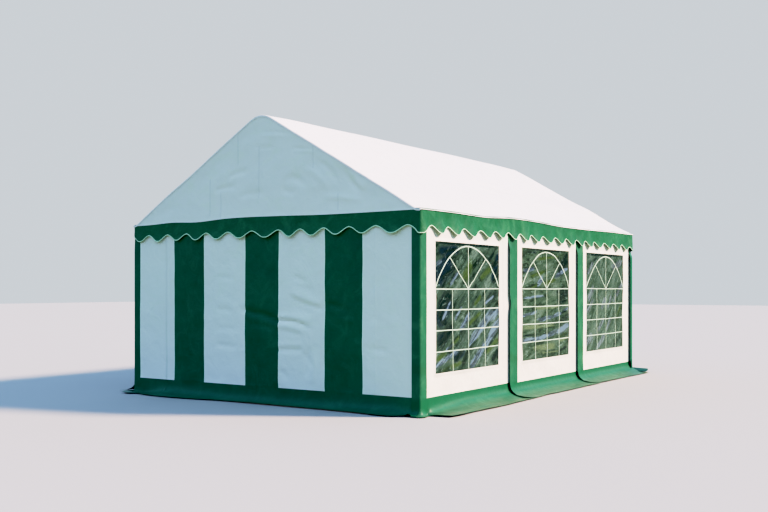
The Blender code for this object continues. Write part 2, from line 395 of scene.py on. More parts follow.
def green_cloth(name, base=(0.005, 0.124, 0.070), pale=(0.026, 0.178, 0.100), dust=1.0, worn=0.26, patch=4.6,
                scuff=(0.088, 0.235, 0.150), gloss=0.28):
    k = Look(name)
    at = k.place()
    uv = k.cloth()
    cloud = k.noise(at, 2.3, 5.0, 0.6, 0.3)
    colour = k.mix(k.span(cloud, 0.38, 0.72), base, tuple(c * 0.82 for c in base))
    rub = k.noise(k.mapped(at, (1, 1, 0.5)), 11.0, 5.0, 0.65, 0.6)
    colour = k.mix(k.math("MULTIPLY", k.span(rub, 0.54, 0.76), 0.40), colour, pale)
    # lighter where the coating is scuffed, darker where it is damp
    smear = k.noise(k.mapped(at, (1.0, 1.0, 0.8), (0.5, 0.2, 0.3)), patch, 6.0, 0.66, 1.2)
    colour = k.mix(k.math("MULTIPLY", k.span(smear, 0.50, 0.70), worn), colour, scuff)
    colour = k.mix(k.math("MULTIPLY", k.span(smear, 0.44, 0.28), 0.45), colour, tuple(c * 0.66 for c in base))
    # pale dust on what lies on the ground, smeared along the wall
    height = k.split(at)[2]
    up = k.split(k.node("ShaderNodeNewGeometry").outputs["Normal"])[2]
    lies = k.math("MULTIPLY", k.span(height, 0.095, 0.020), k.span(up, 0.30, 0.85))
    streak = k.noise(k.mapped(uv, (2.6, 14.0, 1.0)), 1.0, 6.0, 0.64, 0.8)
    place = k.math("ADD", k.split(uv)[1], k.math("MULTIPLY", k.math("SUBTRACT", streak, 0.5), 0.26))
    outer = k.math("ADD", k.span(place, -0.29, -0.37, 0.0, 0.42), k.span(place, -0.47, -0.56, 0.0, 0.58))
    # the first hand's breadth below the wall keeps its full colour, free of dust, and is painted a little darker there
    # as shade over the bend where the cloth turns out towards the light
    undusted_and_shaded = k.math("MULTIPLY", k.span(height, 0.20, 0.15), k.span(place, -0.35, -0.28))
    colour = k.mix(k.math("MULTIPLY", undusted_and_shaded, 0.92 * min(1.0, dust)), colour, (0.003, 0.109, 0.053))
    # a less dusty stretch further out, where the cloth lies hollow
    hollow = k.math("MULTIPLY", k.span(place, -0.38, -0.43), k.span(place, -0.52, -0.47))
    colour = k.mix(k.math("MULTIPLY", hollow, 0.62 * min(1.0, dust)), colour, (0.018, 0.104, 0.052))
    film = k.math("MULTIPLY", k.math("MULTIPLY", lies, outer), k.span(streak, 0.38, 0.60, 0.22 * dust, 0.95 * dust))
    colour = k.mix(film, colour, (0.082, 0.156, 0.085))
    soil = k.span(k.noise(k.mapped(uv, (3.0, 9.0, 1.0), (0, 0, 0), (3.1, 1.7, 0)), 1.0, 4.0, 0.6, 1.0), 0.58, 0.74)
    colour = k.mix(k.math("MULTIPLY", k.math("MULTIPLY", soil, lies), 0.50 * dust), colour, (0.145, 0.150, 0.105))
    threads = weave(k)
    colour = k.mix(k.math("MULTIPLY", threads, 0.10), colour, pale)
    normal = k.bump(k.noise(k.mapped(at, (1, 1, 1), (0.3, 0.2, 0.1)), 6.5, 3.0, 0.55, 0.8), 0.40, 0.014)
    normal = k.bump(k.noise(at, 17.0, 5.0, 0.6, 0.5), 0.34, 0.006, normal)
    normal = k.bump(k.noise(at, 80.0, 3.0, 0.6), 0.14, 0.0012, normal)
    normal = k.bump(threads, 0.18, 0.0003, normal)
    k.set(Base_Color=colour, Roughness=k.span(rub, 0.3, 0.8, 0.42, 0.58), Normal=normal)
    k.set(Specular_IOR_Level=gloss)
    return k.mat


def tape_cloth(name, base=(0.70, 0.75, 0.68), dull=(0.56, 0.63, 0.54)):
    k = Look(name)
    at = k.place()
    uv = k.cloth()
    rib = k.bands(uv, 0.0016, "X")
    edge = k.bands(uv, 0.004, "Y")
    cloud = k.noise(at, 7.0, 4.0, 0.6)
    colour = k.mix(k.span(cloud, 0.4, 0.75), base, dull)
    normal = k.bump(rib, 0.25, 0.0004)
    normal = k.bump(edge, 0.15, 0.0004, normal)
    k.set(Base_Color=colour, Roughness=k.span(cloud, 0.3, 0.8, 0.50, 0.66), Normal=normal)
    k.set(Specular_IOR_Level=0.35)
    return k.mat


def clear_film(name, turn, shift, low, mid, high, painted_dark=(0.010, 0.026, 0.026), sky_reflection=(0.150, 0.232, 0.325),
               painted_greenery=(0.060, 0.108, 0.044), extra=(0.128, 0.190, 0.120), crisp=1.0, grain=1.0):
    """Clear flexible film, partly see-through. Its colour is painted light that
    follows its ripples: the dark inside, shade, greenery and sky reflections. turn is
    the way its fine ripples run, in degrees from upright. The marks are made
    with the sheet: one map holds the sky reflection and the dark, the other
    the greenery and the extra colour."""
    k = Look(name)
    uv = k.cloth()
    reflected_sky, dark = k.split(k.node("ShaderNodeUVMap", uv_map="clouding").outputs["UV"])[:2]
    greenery_mask, more = k.split(k.node("ShaderNodeUVMap", uv_map="tinting").outputs["UV"])[:2]
    moved = k.mapped(uv, (1, 1, 1), (0, 0, 0), (shift, shift * 0.7, shift))
    slant = k.mapped(moved, (1, 1, 1), (0, 0, math.radians(turn)))
    broad = k.noise(k.mapped(slant, (7.0 * grain, 1.7, 1.0)), 1.0, 2.5, 0.50, 0.8)
    fine = k.noise(k.mapped(slant, (21.0 * grain, 3.3, 1.0)), 1.0, 2.5, 0.50, 0.9)
    hair = k.noise(k.mapped(slant, (16.0 * grain, 3.0, 1.0), (0, 0, 0), (5.3, 2.9, 0)), 1.0, 2.0, 0.50, 1.0)
    crumple = k.noise(k.mapped(moved, (8.0, 11.0, 1.0)), 1.0, 4.0, 0.58, 1.6)
    mixed = k.math("ADD", k.math("MULTIPLY", broad, 0.46), k.math("ADD", k.math("MULTIPLY", fine, 0.36),
                                                                 k.math("MULTIPLY", crumple, 0.18)))
    # the film's base colour is painted: the dark view through it, varied along its ripples
    colour = k.mix(k.span(mixed, 0.415, 0.490), low, mid)
    colour = k.mix(k.span(mixed, 0.510, 0.585), colour, high)

    def ragged(mark, how=1.5):
        wavy = k.math("ADD", mark, k.math("MULTIPLY", k.math("SUBTRACT", mixed, 0.5), how * 1.5))
        return k.math("MULTIPLY", k.span(wavy, 0.22, 0.66), k.span(mark, 0.0, 0.16))

    # painted extra colour, painted greenery and painted dark, where the marks lie
    colour = k.mix(ragged(more), colour, extra)
    colour = k.mix(ragged(greenery_mask), colour, painted_greenery)
    colour = k.mix(ragged(dark), colour, painted_dark)
    # painted sky reflection, lighter and darker along the fine ripples
    light = k.mix(k.span(fine, 0.41, 0.56), tuple(c * 0.36 for c in sky_reflection), tuple(c * 1.10 for c in sky_reflection))
    colour = k.mix(k.math("MULTIPLY", ragged(reflected_sky), 0.88), colour, light)
    # painted highlights on fine crinkles, and painted shade in others
    bright = k.span(k.math("ABSOLUTE", k.math("SUBTRACT", hair, 0.50)), 0.0, 0.024, 1.0, 0.0)
    bright = k.math("MULTIPLY", bright, k.span(crumple, 0.50, 0.60))
    colour = k.mix(k.math("MULTIPLY", bright, 0.85 * crisp), colour, (0.190, 0.300, 0.285))
    shade = k.span(k.math("ABSOLUTE", k.math("SUBTRACT", fine, 0.50)), 0.0, 0.032, 1.0, 0.0)
    shade = k.math("MULTIPLY", shade, k.span(crumple, 0.52, 0.42))
    colour = k.mix(k.math("MULTIPLY", shade, 0.85 * crisp), colour, (0.006, 0.016, 0.014))
    normal = k.bump(hair, 0.45, 0.012)
    normal = k.bump(fine, 0.45, 0.006, normal)
    k.set(Base_Color=colour, Roughness=k.span(fine, 0.3, 0.8, 0.07, 0.18), Normal=normal)
    k.set(Specular_IOR_Level=0.50, IOR=1.46, Alpha=0.78)
    return k.mat


def galvanised(name):
    k = Look(name)
    at = k.place()
    cells = k.node("ShaderNodeTexVoronoi", feature="F1")
    cells.inputs["Scale"].default_value = 95.0
    k.link(k.mapped(at, (1, 1, 0.7)), cells.inputs["Vector"])
    tone = k.split(cells.outputs["Color"])[0]
    cloud = k.noise(at, 8.0, 5.0, 0.6)
    colour = k.mix(tone, (0.46, 0.48, 0.50), (0.66, 0.68, 0.70))
    colour = k.mix(k.math("MULTIPLY", k.span(cloud, 0.48, 0.72), 0.5), colour, (0.40, 0.41, 0.41))
    rough = k.math("ADD", k.span(tone, 0.0, 1.0, 0.30, 0.46), k.span(cloud, 0.4, 0.8, 0.0, 0.14))
    k.set(Base_Color=colour, Metallic=0.92, Roughness=rough, Normal=k.bump(tone, 0.08, 0.0004))
    return k.mat


def zip_tape(name):
    k = Look(name)
    at = k.place()
    teeth = k.bands(k.cloth(), 0.005, "Y")
    cloud = k.noise(at, 12.0, 3.0, 0.6)
    colour = k.mix(k.math("MULTIPLY", teeth, 0.30), (0.76, 0.78, 0.76), (0.55, 0.60, 0.58))
    colour = k.mix(k.math("MULTIPLY", cloud, 0.2), colour, (0.60, 0.66, 0.64))
    k.set(Base_Color=colour, Roughness=k.span(cloud, 0.3, 0.7, 0.42, 0.6), Normal=k.bump(teeth, 0.5, 0.0008))
    return k.mat


# The same white cloth in copies tuned to the light on each part: the roof's is painted darker and warmer for its full
# sun; the gable's and the end-wall stripes' are cooler, tuned to the front's shade; the side panels' is warmer, tuned
# to the sunlit side.
ROOF_WHITE = white_cloth("roof_white", (0.765, 0.735, 0.725), (0.735, 0.715, 0.690), grime=0.0)
GABLE_WHITE = white_cloth("gable_white", (0.81, 0.81, 0.82), (0.79, 0.81, 0.76), grime=0.0)
# painted shade for the gable's welded seams
GABLE_SEAM_SHADE = white_cloth("gable_seam_shade", (0.755, 0.755, 0.765), (0.735, 0.755, 0.71), grime=0.0)
WALL_WHITE = white_cloth("panel_white", (0.84, 0.80, 0.765), (0.77, 0.765, 0.725), grime=1.4, crumple=1.3)
STRIPE_WHITE = white_cloth("stripe_white", (0.82, 0.835, 0.84), (0.795, 0.830, 0.785), grime=0.3, crumple=1.4,
                           painted_foot_light=(0.885, 0.865, 0.905))
ZIP_SHADE = white_cloth("zip_shade", (0.775, 0.790, 0.795), (0.75, 0.785, 0.74))
STRIPE_EDGE = white_cloth("stripe_edge", (0.85, 0.94, 0.88), (0.83, 0.93, 0.84))
# Copies of one green cloth tuned to the light: the end walls' copy, with little dust, is kept darker for the front's
# shade; the side panels' copy is redder and dustier for the sunlit side.
GREEN = green_cloth("coated_green", dust=0.20)
GREEN_SIDE = green_cloth("coated_green_side", (0.018, 0.134, 0.076), (0.050, 0.195, 0.115), worn=0.38)
GREEN_BAND = green_cloth("coated_green_band", (0.010, 0.126, 0.060), (0.040, 0.185, 0.098), worn=0.50, patch=3.1,
                         scuff=(0.072, 0.232, 0.130))
# a darker, duller copy of the green: painted shade for the rear flap by its corner
GREEN_FOLD_SHADE = green_cloth("coated_green_fold_shade", (0.004, 0.080, 0.050), (0.014, 0.110, 0.066), dust=0.0, worn=0.06,
                         gloss=0.10)
TAPE = tape_cloth("binding_tape", (0.515, 0.66, 0.575), (0.385, 0.52, 0.43))
PIPING = tape_cloth("piping_tape", (0.58, 0.80, 0.61), (0.47, 0.67, 0.49))
# window films whose colours are painted light: the dark inside, greenery and sky reflection
FILMS = (clear_film("clear_film_a", 54.0, 0.0, (0.012, 0.030, 0.024), (0.056, 0.104, 0.086), (0.112, 0.182, 0.160),
                    extra=(0.012, 0.032, 0.050), crisp=1.0),
         clear_film("clear_film_b", 82.0, 3.7, (0.024, 0.048, 0.036), (0.062, 0.114, 0.086), (0.108, 0.176, 0.146)),
         clear_film("clear_film_c", 40.0, 7.9, (0.034, 0.066, 0.052), (0.068, 0.124, 0.100), (0.110, 0.178, 0.155),
                    sky_reflection=(0.160, 0.222, 0.262), crisp=1.05, grain=1.4))
STEEL = galvanised("galvanised_steel")
ZIP = zip_tape("zip_tape")

# --------------------------------------------------------------- the frame
for node in NODES.values():
    kind = node.name.split("_")[0]
    if kind in ("post", "rafter", "ridge", "eave", "tie"):
        for material_slot in node.material_slots:
            material_slot.material = STEEL

# ------------------------------------------------- seam under the eaves
# Height of the line where the white cover meets the green valance.
FRONT_SEAM = ((-2.03, 1.990), (-1.70, 1.994), (-1.35, 2.008), (-0.95, 1.999), (-0.50, 2.022),
              (0.25, 2.021), (0.80, 2.010), (1.40, 2.010), (2.03, 2.014))
RIGHT_SEAM = ((-3.03, 2.014), (-2.40, 2.018), (-1.62, 2.015), (-1.15, 2.036), (-0.35, 2.037),
              (0.30, 2.021), (1.20, 2.024), (2.20, 2.038), (3.03, 2.040))
REAR_SEAM = ((-2.03, 2.014), (-1.45, 2.008), (-0.80, 2.019), (-0.10, 2.022), (0.60, 2.012),
             (1.30, 2.022), (2.03, 2.040))
LEFT_SEAM = ((-3.03, 1.990), (-2.40, 2.010), (-1.70, 2.016), (-1.00, 2.032), (0.00, 2.026),
             (0.90, 2.034), (1.80, 2.018), (3.03, 2.014))


def tuck(x, y):
    """The cover sits closer in at one front corner and further out at one
    rear corner."""
    front = smooth((-1.72 - x) / 0.28) * smooth((-2.86 - y) / 0.14)
    rear = smooth((x - 1.86) / 0.14) * smooth((y - 2.70) / 0.30)
    return x + 0.013 * front + 0.012 * rear, y + 0.012 * front


def roof_height(x, y):
    """Top of the roof cover."""
    ax = np.abs(x)
    part = smooth((y + 3.0) / 6.0)
    bend = RIDGE_ROUND + 0.07 * hump(y, -3.0, 0.35) + 0.06 * hump(y, 3.0, 0.45)
    z = np.where(ax < bend, RIDGE_SHARP_Z - ROOF_K * (bend / 2 + ax * ax / (2 * bend)), RIDGE_SHARP_Z - ROOF_K * ax)
    front = curve(x, ((-2.03, -0.055), (-1.85, -0.052), (-1.65, -0.045), (-1.40, -0.032), (-1.00, -0.026),
                      (-0.75, -0.006), (-0.35, 0.013), (0.0, 0.020), (0.35, 0.013), (0.75, 0.005),
                      (1.05, -0.004), (1.30, -0.013), (1.65, -0.018), (1.85, -0.030), (2.03, -0.044)))
    rear = curve(ax, ((0.0, 0.050), (0.3, 0.051), (0.7, 0.038), (1.1, 0.030), (1.38, 0.038), (1.55, 0.024),
                      (1.70, 0.013), (1.84, 0.011), (2.03, 0.020)))
    z = z + front * (1.0 - part) + rear * part
    z = z + 0.0045 * layered(x * 3.1, y * 0 + 6.3, 61, 2) * hump(y, -3.0, 0.10) * smooth((ax - 0.12) / 0.25) * smooth((1.9 - ax) / 0.2)
    # the cover dips a little between the rafters
    span = np.zeros_like(z)
    for a, b in zip(FRAME_Y, FRAME_Y[1:]):
        inside = (y >= a) & (y <= b)
        span = np.where(inside, np.sin(np.pi * (y - a) / (b - a)) ** 2, span)
    across = np.sin(np.pi * np.clip(ax / 2.0, 0.0, 1.0)) ** 0.9
    z = z - 0.013 * span * across - 0.003 * span * (ax < 1e9)
    # down to the eaves, where it may fall steeply or lie nearly level
    seam = np.where(x > 0, curve(y, RIGHT_SEAM), curve(y, LEFT_SEAM)) + 0.008
    end = RIDGE_SHARP_Z - ROOF_K * 2.010 + np.where(x > 0, -0.043, -0.055) * (1.0 - part) + 0.020 * part
    z = z - np.maximum(end - seam, 0.0) * smooth((ax - 1.925) / 0.085)
    low = seam + 0.06 * (2.010 - ax)
    soft = 0.010
    gap = (z - low) / soft
    return low + soft * np.logaddexp(0.0, gap * 1.4) / 1.4


def roof_cover():
    xs = spaced([0.0, 0.02, 0.05, 0.08, 0.12, 0.20, 1.90, 1.94, 1.955, 1.97, 1.98, 1.99, 2.000, 2.010], 0.034)
    ys = spaced([-3.000, -2.95, -1.05, -0.95, 0.95, 1.05, 2.95, 3.000], 0.036)
    xs = np.concatenate([-xs[::-1], xs[1:]])
    X, Y = np.meshgrid(xs, ys)
    Z = roof_height(X, Y)
    # wrinkles along the normal of each slope
    edge = smooth((2.01 - np.abs(X)) / 0.35) * smooth((3.0 - np.abs(Y)) / 0.30)
    ridge = smooth((np.abs(X) - 0.05) / 0.35)
    soft = 0.0032 * layered(X * 1.5, Y * 1.2, 3, 3) + 0.0022 * wave_noise(X * 2.2, Y * 5.5, 8)
    pull = 0.0016 * ridged(X * 2.6 + Y * 1.1, Y * 3.1 - X * 1.3, 12)
    dents = (crease(X, Y, 0.95, 0.10, 1.18, 0.42, 0.030, -0.012, 0.03)
             + crease(X, Y, 0.86, 0.30, 1.02, 0.62, 0.028, 0.010, -0.02)
             + crease(X, Y, 1.16, -0.25, 1.30, 0.20, 0.035, -0.009, 0.03)
             + crease(X, Y, 0.70, 0.55, 0.98, 0.75, 0.035, -0.008)
             + crease(X, Y, -1.10, 0.80, -0.85, 0.35, 0.035, -0.005, 0.03)
             + crease(X, Y, -0.95, -0.60, -1.25, -0.95, 0.035, 0.005, 0.03))
    # light vertical tension lines rising from the eaves
    rise = 0.0022 * np.sin(Y * 2 * np.pi / 0.46 + 1.3 * wave_noise(Y * 0.7, X * 0.4, 5)) * hump(np.abs(X), 1.95, 0.28)
    D = (soft + pull + dents) * edge * ridge + rise * smooth((3.0 - np.abs(Y)) / 0.3)
    gx = (roof_height(X + 1e-3, Y) - roof_height(X - 1e-3, Y)) / 2e-3
    n = np.stack([-gx, np.zeros_like(gx), np.ones_like(gx)], axis=2)
    n /= np.linalg.norm(n, axis=2, keepdims=True)
    P = np.stack([X, Y, Z], axis=2) + n * D[..., None]
    # over the eaves: down to the seam with the valance, on both sides
    seam_r, seam_l = curve(ys, RIGHT_SEAM), curve(ys, LEFT_SEAM)
    for side, seam in ((1, seam_r), (-1, seam_l)):
        last = P[:, -1] if side > 0 else P[:, 0]
        rows = []
        for out, down in ((0.0060, 0.0018), (0.0125, 0.0058), (0.0165, 0.0125)):
            q = last.copy()
            q[:, 0] = side * (2.010 + out)
            q[:, 2] = np.maximum(last[:, 2] - down, seam - 0.002)
            rows.append(q)
        rows[-1][:, 2] = seam - 0.003
        for q in rows:
            q = q[:, None]
            P = np.concatenate([P, q], axis=1) if side > 0 else np.concatenate([q, P], axis=1)
    # over the gable ends, square to the slope
    along = np.gradient(P, axis=1)
    normal = np.stack([-along[..., 2], np.zeros(along.shape[:2]), along[..., 0]], axis=2)
    normal /= np.linalg.norm(normal, axis=2, keepdims=True)
    for end in (0, -1):
        base, nrm = P[end].copy(), normal[end]
        sign = -1.0 if end == 0 else 1.0
        wob = 0.0025 * wave_noise(base[:, 0] * 3.1, base[:, 0] * 0 + 7.7 * sign, 21)
        rows = []
        for out, down in ((0.0100, 0.0012), (0.0170, 0.0045), (0.0208, 0.0105), (0.0218, 0.0180), (0.0222, 0.0265)):
            q = base - nrm * (down + (wob[:, None] if down > 0.02 else 0.0))
            q[:, 1] = base[:, 1] + sign * out
            q[:, 2] = np.maximum(q[:, 2], base[:, 2] - 0.034)
            rows.append(q)
        for q in rows:
            q = q[None]
            P = np.concatenate([q, P], axis=0) if end == 0 else np.concatenate([P, q], axis=0)
    P[..., 0], P[..., 1] = tuck(P[..., 0], P[..., 1])
    uvs = np.zeros(P.shape[:2] + (2,))
    uvs[..., 0] = np.cumsum(np.concatenate([np.zeros((P.shape[0], 1)),
                                            np.linalg.norm(np.diff(P, axis=1), axis=2)], axis=1), axis=1)
    uvs[..., 1] = P[..., 1]
    obj = sheet_object("roof_cover", grid_quads(P), [ROOF_WHITE], uv=grid_quads(uvs))
    finish_piece(obj, ("roof_slope_right", "roof_slope_left"))
    return obj


def gable_cover(end):
    """The white triangle at one end: end -1 is the front, +1 the rear."""
    welds = ((-0.757, 2.05, 2.47), (-0.596, 2.03, 2.32), (-0.343, 2.60, 2.98),
             (-0.040, 2.22, 2.79), (0.698, 2.50, 2.72), (1.02, 2.04, 2.22))
    xs = spaced(sorted([-2.012, -1.95, -1.6, 1.6, 1.95, 2.012]
                       + [x0 + d for x0, z0, z1 in welds for d in (-0.007, 0.001, 0.019, 0.028)]), 0.028)
    rows = np.concatenate([[0.0, 0.004, 0.012], np.linspace(0.03, 0.97, 44), [0.99, 1.0]])
    seam = curve(xs, FRONT_SEAM if end < 0 else REAR_SEAM)
    top = roof_height(xs, np.full_like(xs, end * 3.0)) - 0.012 / np.cos(np.arctan(ROOF_K))
    top = np.maximum(top, seam + 0.004)
    X, V = np.meshgrid(xs, rows)
    Z = seam - 0.004 + V * (top - seam + 0.004)
    rise = top - seam
    out = np.full_like(X, 0.0190)
    # bottom edge laps over the valance, and the cloth lies back above it
    out += 0.0030 * (1.0 - smooth((Z - seam) / 0.020))
    inner = smooth((Z - seam) / 0.16) * smooth((top - Z) / 0.16) * smooth(rise / 0.3)
    h = X * 1.0
    folds = 0.0060 * layered(h * 1.3, Z * 1.6, 41 + end, 3)
    folds += 0.0055 * (ridged(h * 2.2 - Z * 1.5, Z * 2.4 + h * 0.8, 47 + end) - 0.45)
    folds -= 0.006
    for x0, z0, x1, z1, w, d, b in (
            (0.02, 2.925, 0.44, 2.880, 0.012, -0.0050, 0.004),
            (0.03, 2.900, 0.40, 2.862, 0.020, 0.0030, 0.0),
            (-0.12, 2.782, 0.16, 2.758, 0.014, -0.0040, 0.0),
            (0.44, 2.716, 0.76, 2.686, 0.014, -0.0045, 0.004),
            (0.45, 2.700, 0.72, 2.672, 0.018, 0.0030, 0.0),
            (1.08, 2.555, 1.28, 2.230, 0.035, -0.0085, -0.02),
            (1.17, 2.520, 1.36, 2.250, 0.040, 0.0060, -0.02),
            (0.80, 2.560, 1.02, 2.330, 0.035, -0.0060, 0.02),
            (0.62, 2.500, 0.90, 2.280, 0.040, 0.0055, 0.03),
            (0.38, 2.420, 0.60, 2.330, 0.040, -0.0060, 0.02),
            (0.30, 2.310, 0.46, 2.250, 0.035, -0.0050, -0.01),
            (-0.46, 2.480, -0.20, 2.520, 0.030, -0.0050, 0.015),
            (-0.66, 2.340, -0.38, 2.360, 0.030, -0.0055, 0.01),
            (-0.30, 2.255, 0.02, 2.275, 0.030, -0.0045, 0.01),
            (0.86, 2.190, 1.30, 2.130, 0.035, 0.0050, 0.01)):
        folds += 1.5 * crease(h, Z, x0, z0, x1, z1, w, d, b)
    # welded seams stand as faint upright lines
    seams = np.zeros_like(X)
    for x0, z0, z1 in welds:
        gate = smooth((Z - z0) / 0.05) * smooth((z1 - Z) / 0.05)
        seams += 0.0026 * hump(h, x0, 0.010) * gate - 0.0032 * hump(h, x0 + 0.020, 0.011) * gate
    # small upright gathers where the cloth is sewn in at the low corners
    gather = 0.0018 * np.sin(h * 2 * np.pi / 0.075 + 2.0 * wave_noise(h * 2.0, Z * 0.5, 5)) * smooth((np.abs(h) - 1.30) / 0.4) \
        * smooth((2.01 - np.abs(h)) / 0.1)
    out += folds * inner + (seams + gather) * smooth(rise / 0.2) * smooth((Z - seam) / 0.03) * smooth((top - Z) / 0.03)
    P = np.stack([*tuck(X, end * (3.0 + out)), Z], axis=2)
    uvs = np.stack([X, Z], axis=2)
    q, t = grid_quads(P), grid_quads(uvs)
    if end > 0:
        q, t = q[:, ::-1], t[:, ::-1]
    name = "gable_cover_front" if end < 0 else "gable_cover_rear"
    # the cloth along each welded seam is painted a little darker, as the shade of its groove
    xm, zm = (X[:-1, :-1] + X[1:, 1:]) / 2, (Z[:-1, :-1] + Z[1:, 1:]) / 2
    dull = np.zeros(xm.shape, int)
    for x0, z0, z1 in welds:
        dull |= ((np.abs(xm - x0 - 0.010) < 0.009) & (zm > z0) & (zm < z1)).astype(int)
    obj = sheet_object(name, q, [GABLE_WHITE, GABLE_SEAM_SHADE], dull.ravel(), uv=t)
    finish_piece(obj, ("gable_front" if end < 0 else "gable_rear",))
    return obj


roof_cover()
gable_cover(-1)
gable_cover(1)

# ---------------------------------------------------------------- valance
RING_R = 0.030
RING_X, RING_Y = 2.0185, 3.0185
# places of the crests of the scallops, nearly a third of a metre apart
WARP_FRONT = ((-1.0, 0.0), (0, 0.0), (1, -0.020), (2, -0.043), (3, -0.062), (4, -0.060), (5, -0.040), (6, 0.006),
              (7, -0.026), (8, -0.046), (9, -0.052), (10, -0.050), (11, 0.0), (12, 0.0))
WARP_SIDE = ((-1, 0.020), (0, 0.030), (1, 0.022), (2, 0.015), (3, 0.046), (4, 0.050), (6, 0.005), (7.5, -0.041),
             (9, -0.005), (11, -0.005), (13, -0.050), (15, 0.012), (16, 0.010), (18, 0.0))


def ring_path(step):
    """Points round the eaves, anticlockwise from above, starting in the
    middle of the left side: place, outward direction and side of each."""
    pts = []
    corners = ((-RING_X, -RING_Y), (RING_X, -RING_Y), (RING_X, RING_Y), (-RING_X, RING_Y))
    ways = ((1.0, 0.0), (0.0, 1.0), (-1.0, 0.0), (0.0, -1.0))
    for k in range(4):
        c, d = corners[k], ways[k]
        e = corners[(k + 1) % 4]
        length = abs(e[0] - c[0]) + abs(e[1] - c[1])
        n_out = (d[1], -d[0])
        t = spaced([RING_R, length - RING_R], step)
        for s in t[:-1]:
            pts.append((c[0] + d[0] * s, c[1] + d[1] * s, n_out[0], n_out[1], k, s))
        # rounded corner at the end of this side
        nxt = ways[(k + 1) % 4]
        centre = (e[0] - d[0] * RING_R + nxt[0] * RING_R, e[1] - d[1] * RING_R + nxt[1] * RING_R)
        for j in range(5):
            a = math.pi / 2 * j / 5
            n = (n_out[0] * math.cos(a) + d[0] * math.sin(a), n_out[1] * math.cos(a) + d[1] * math.sin(a))
            where, s = (k, length - RING_R + RING_R * j / 5 * 1.57)
            pts.append((centre[0] + n[0] * RING_R, centre[1] + n[1] * RING_R, n[0], n[1], where, s))
    return np.array(pts)


def seam_round(side, x, y):
    return np.select([side == 0, side == 1, side == 2],
                     [curve(x, FRONT_SEAM), curve(y, RIGHT_SEAM), curve(x, REAR_SEAM)], curve(y, LEFT_SEAM))


def scallop_phase(side, x, y):
    """Whole at a trough, a half more at a crest. It counts on round each side."""
    def one(v, first, pitch, warp, count):
        # solve first + pitch k + warp(k) = v for k
        ks = np.linspace(-1.0, count, 40 * (count + 1) + 1)
        at = first + pitch * ks + curve(ks, warp)
        return np.interp(v, at, ks) + 0.5
    f = one(x, -1.723, 0.3274, WARP_FRONT, 12)
    b = one(-x, -1.723, 0.3274, WARP_FRONT, 12)
    r = one(y, -2.849, 0.3374, WARP_SIDE, 18)
    l = one(-y, -2.849, 0.3374, WARP_SIDE, 18)
    return np.select([side == 0, side == 1, side == 2], [f, r, b], l)


def scallop(phase):
    c = -np.cos(2 * np.pi * phase)
    t = 2.0 * np.abs(2.0 * (phase - np.floor(phase)) - 1.0)
    tri = 1.0 - t
    return 0.80 * c + 0.20 * tri * np.abs(np.sin(np.pi * phase)) ** 0.4


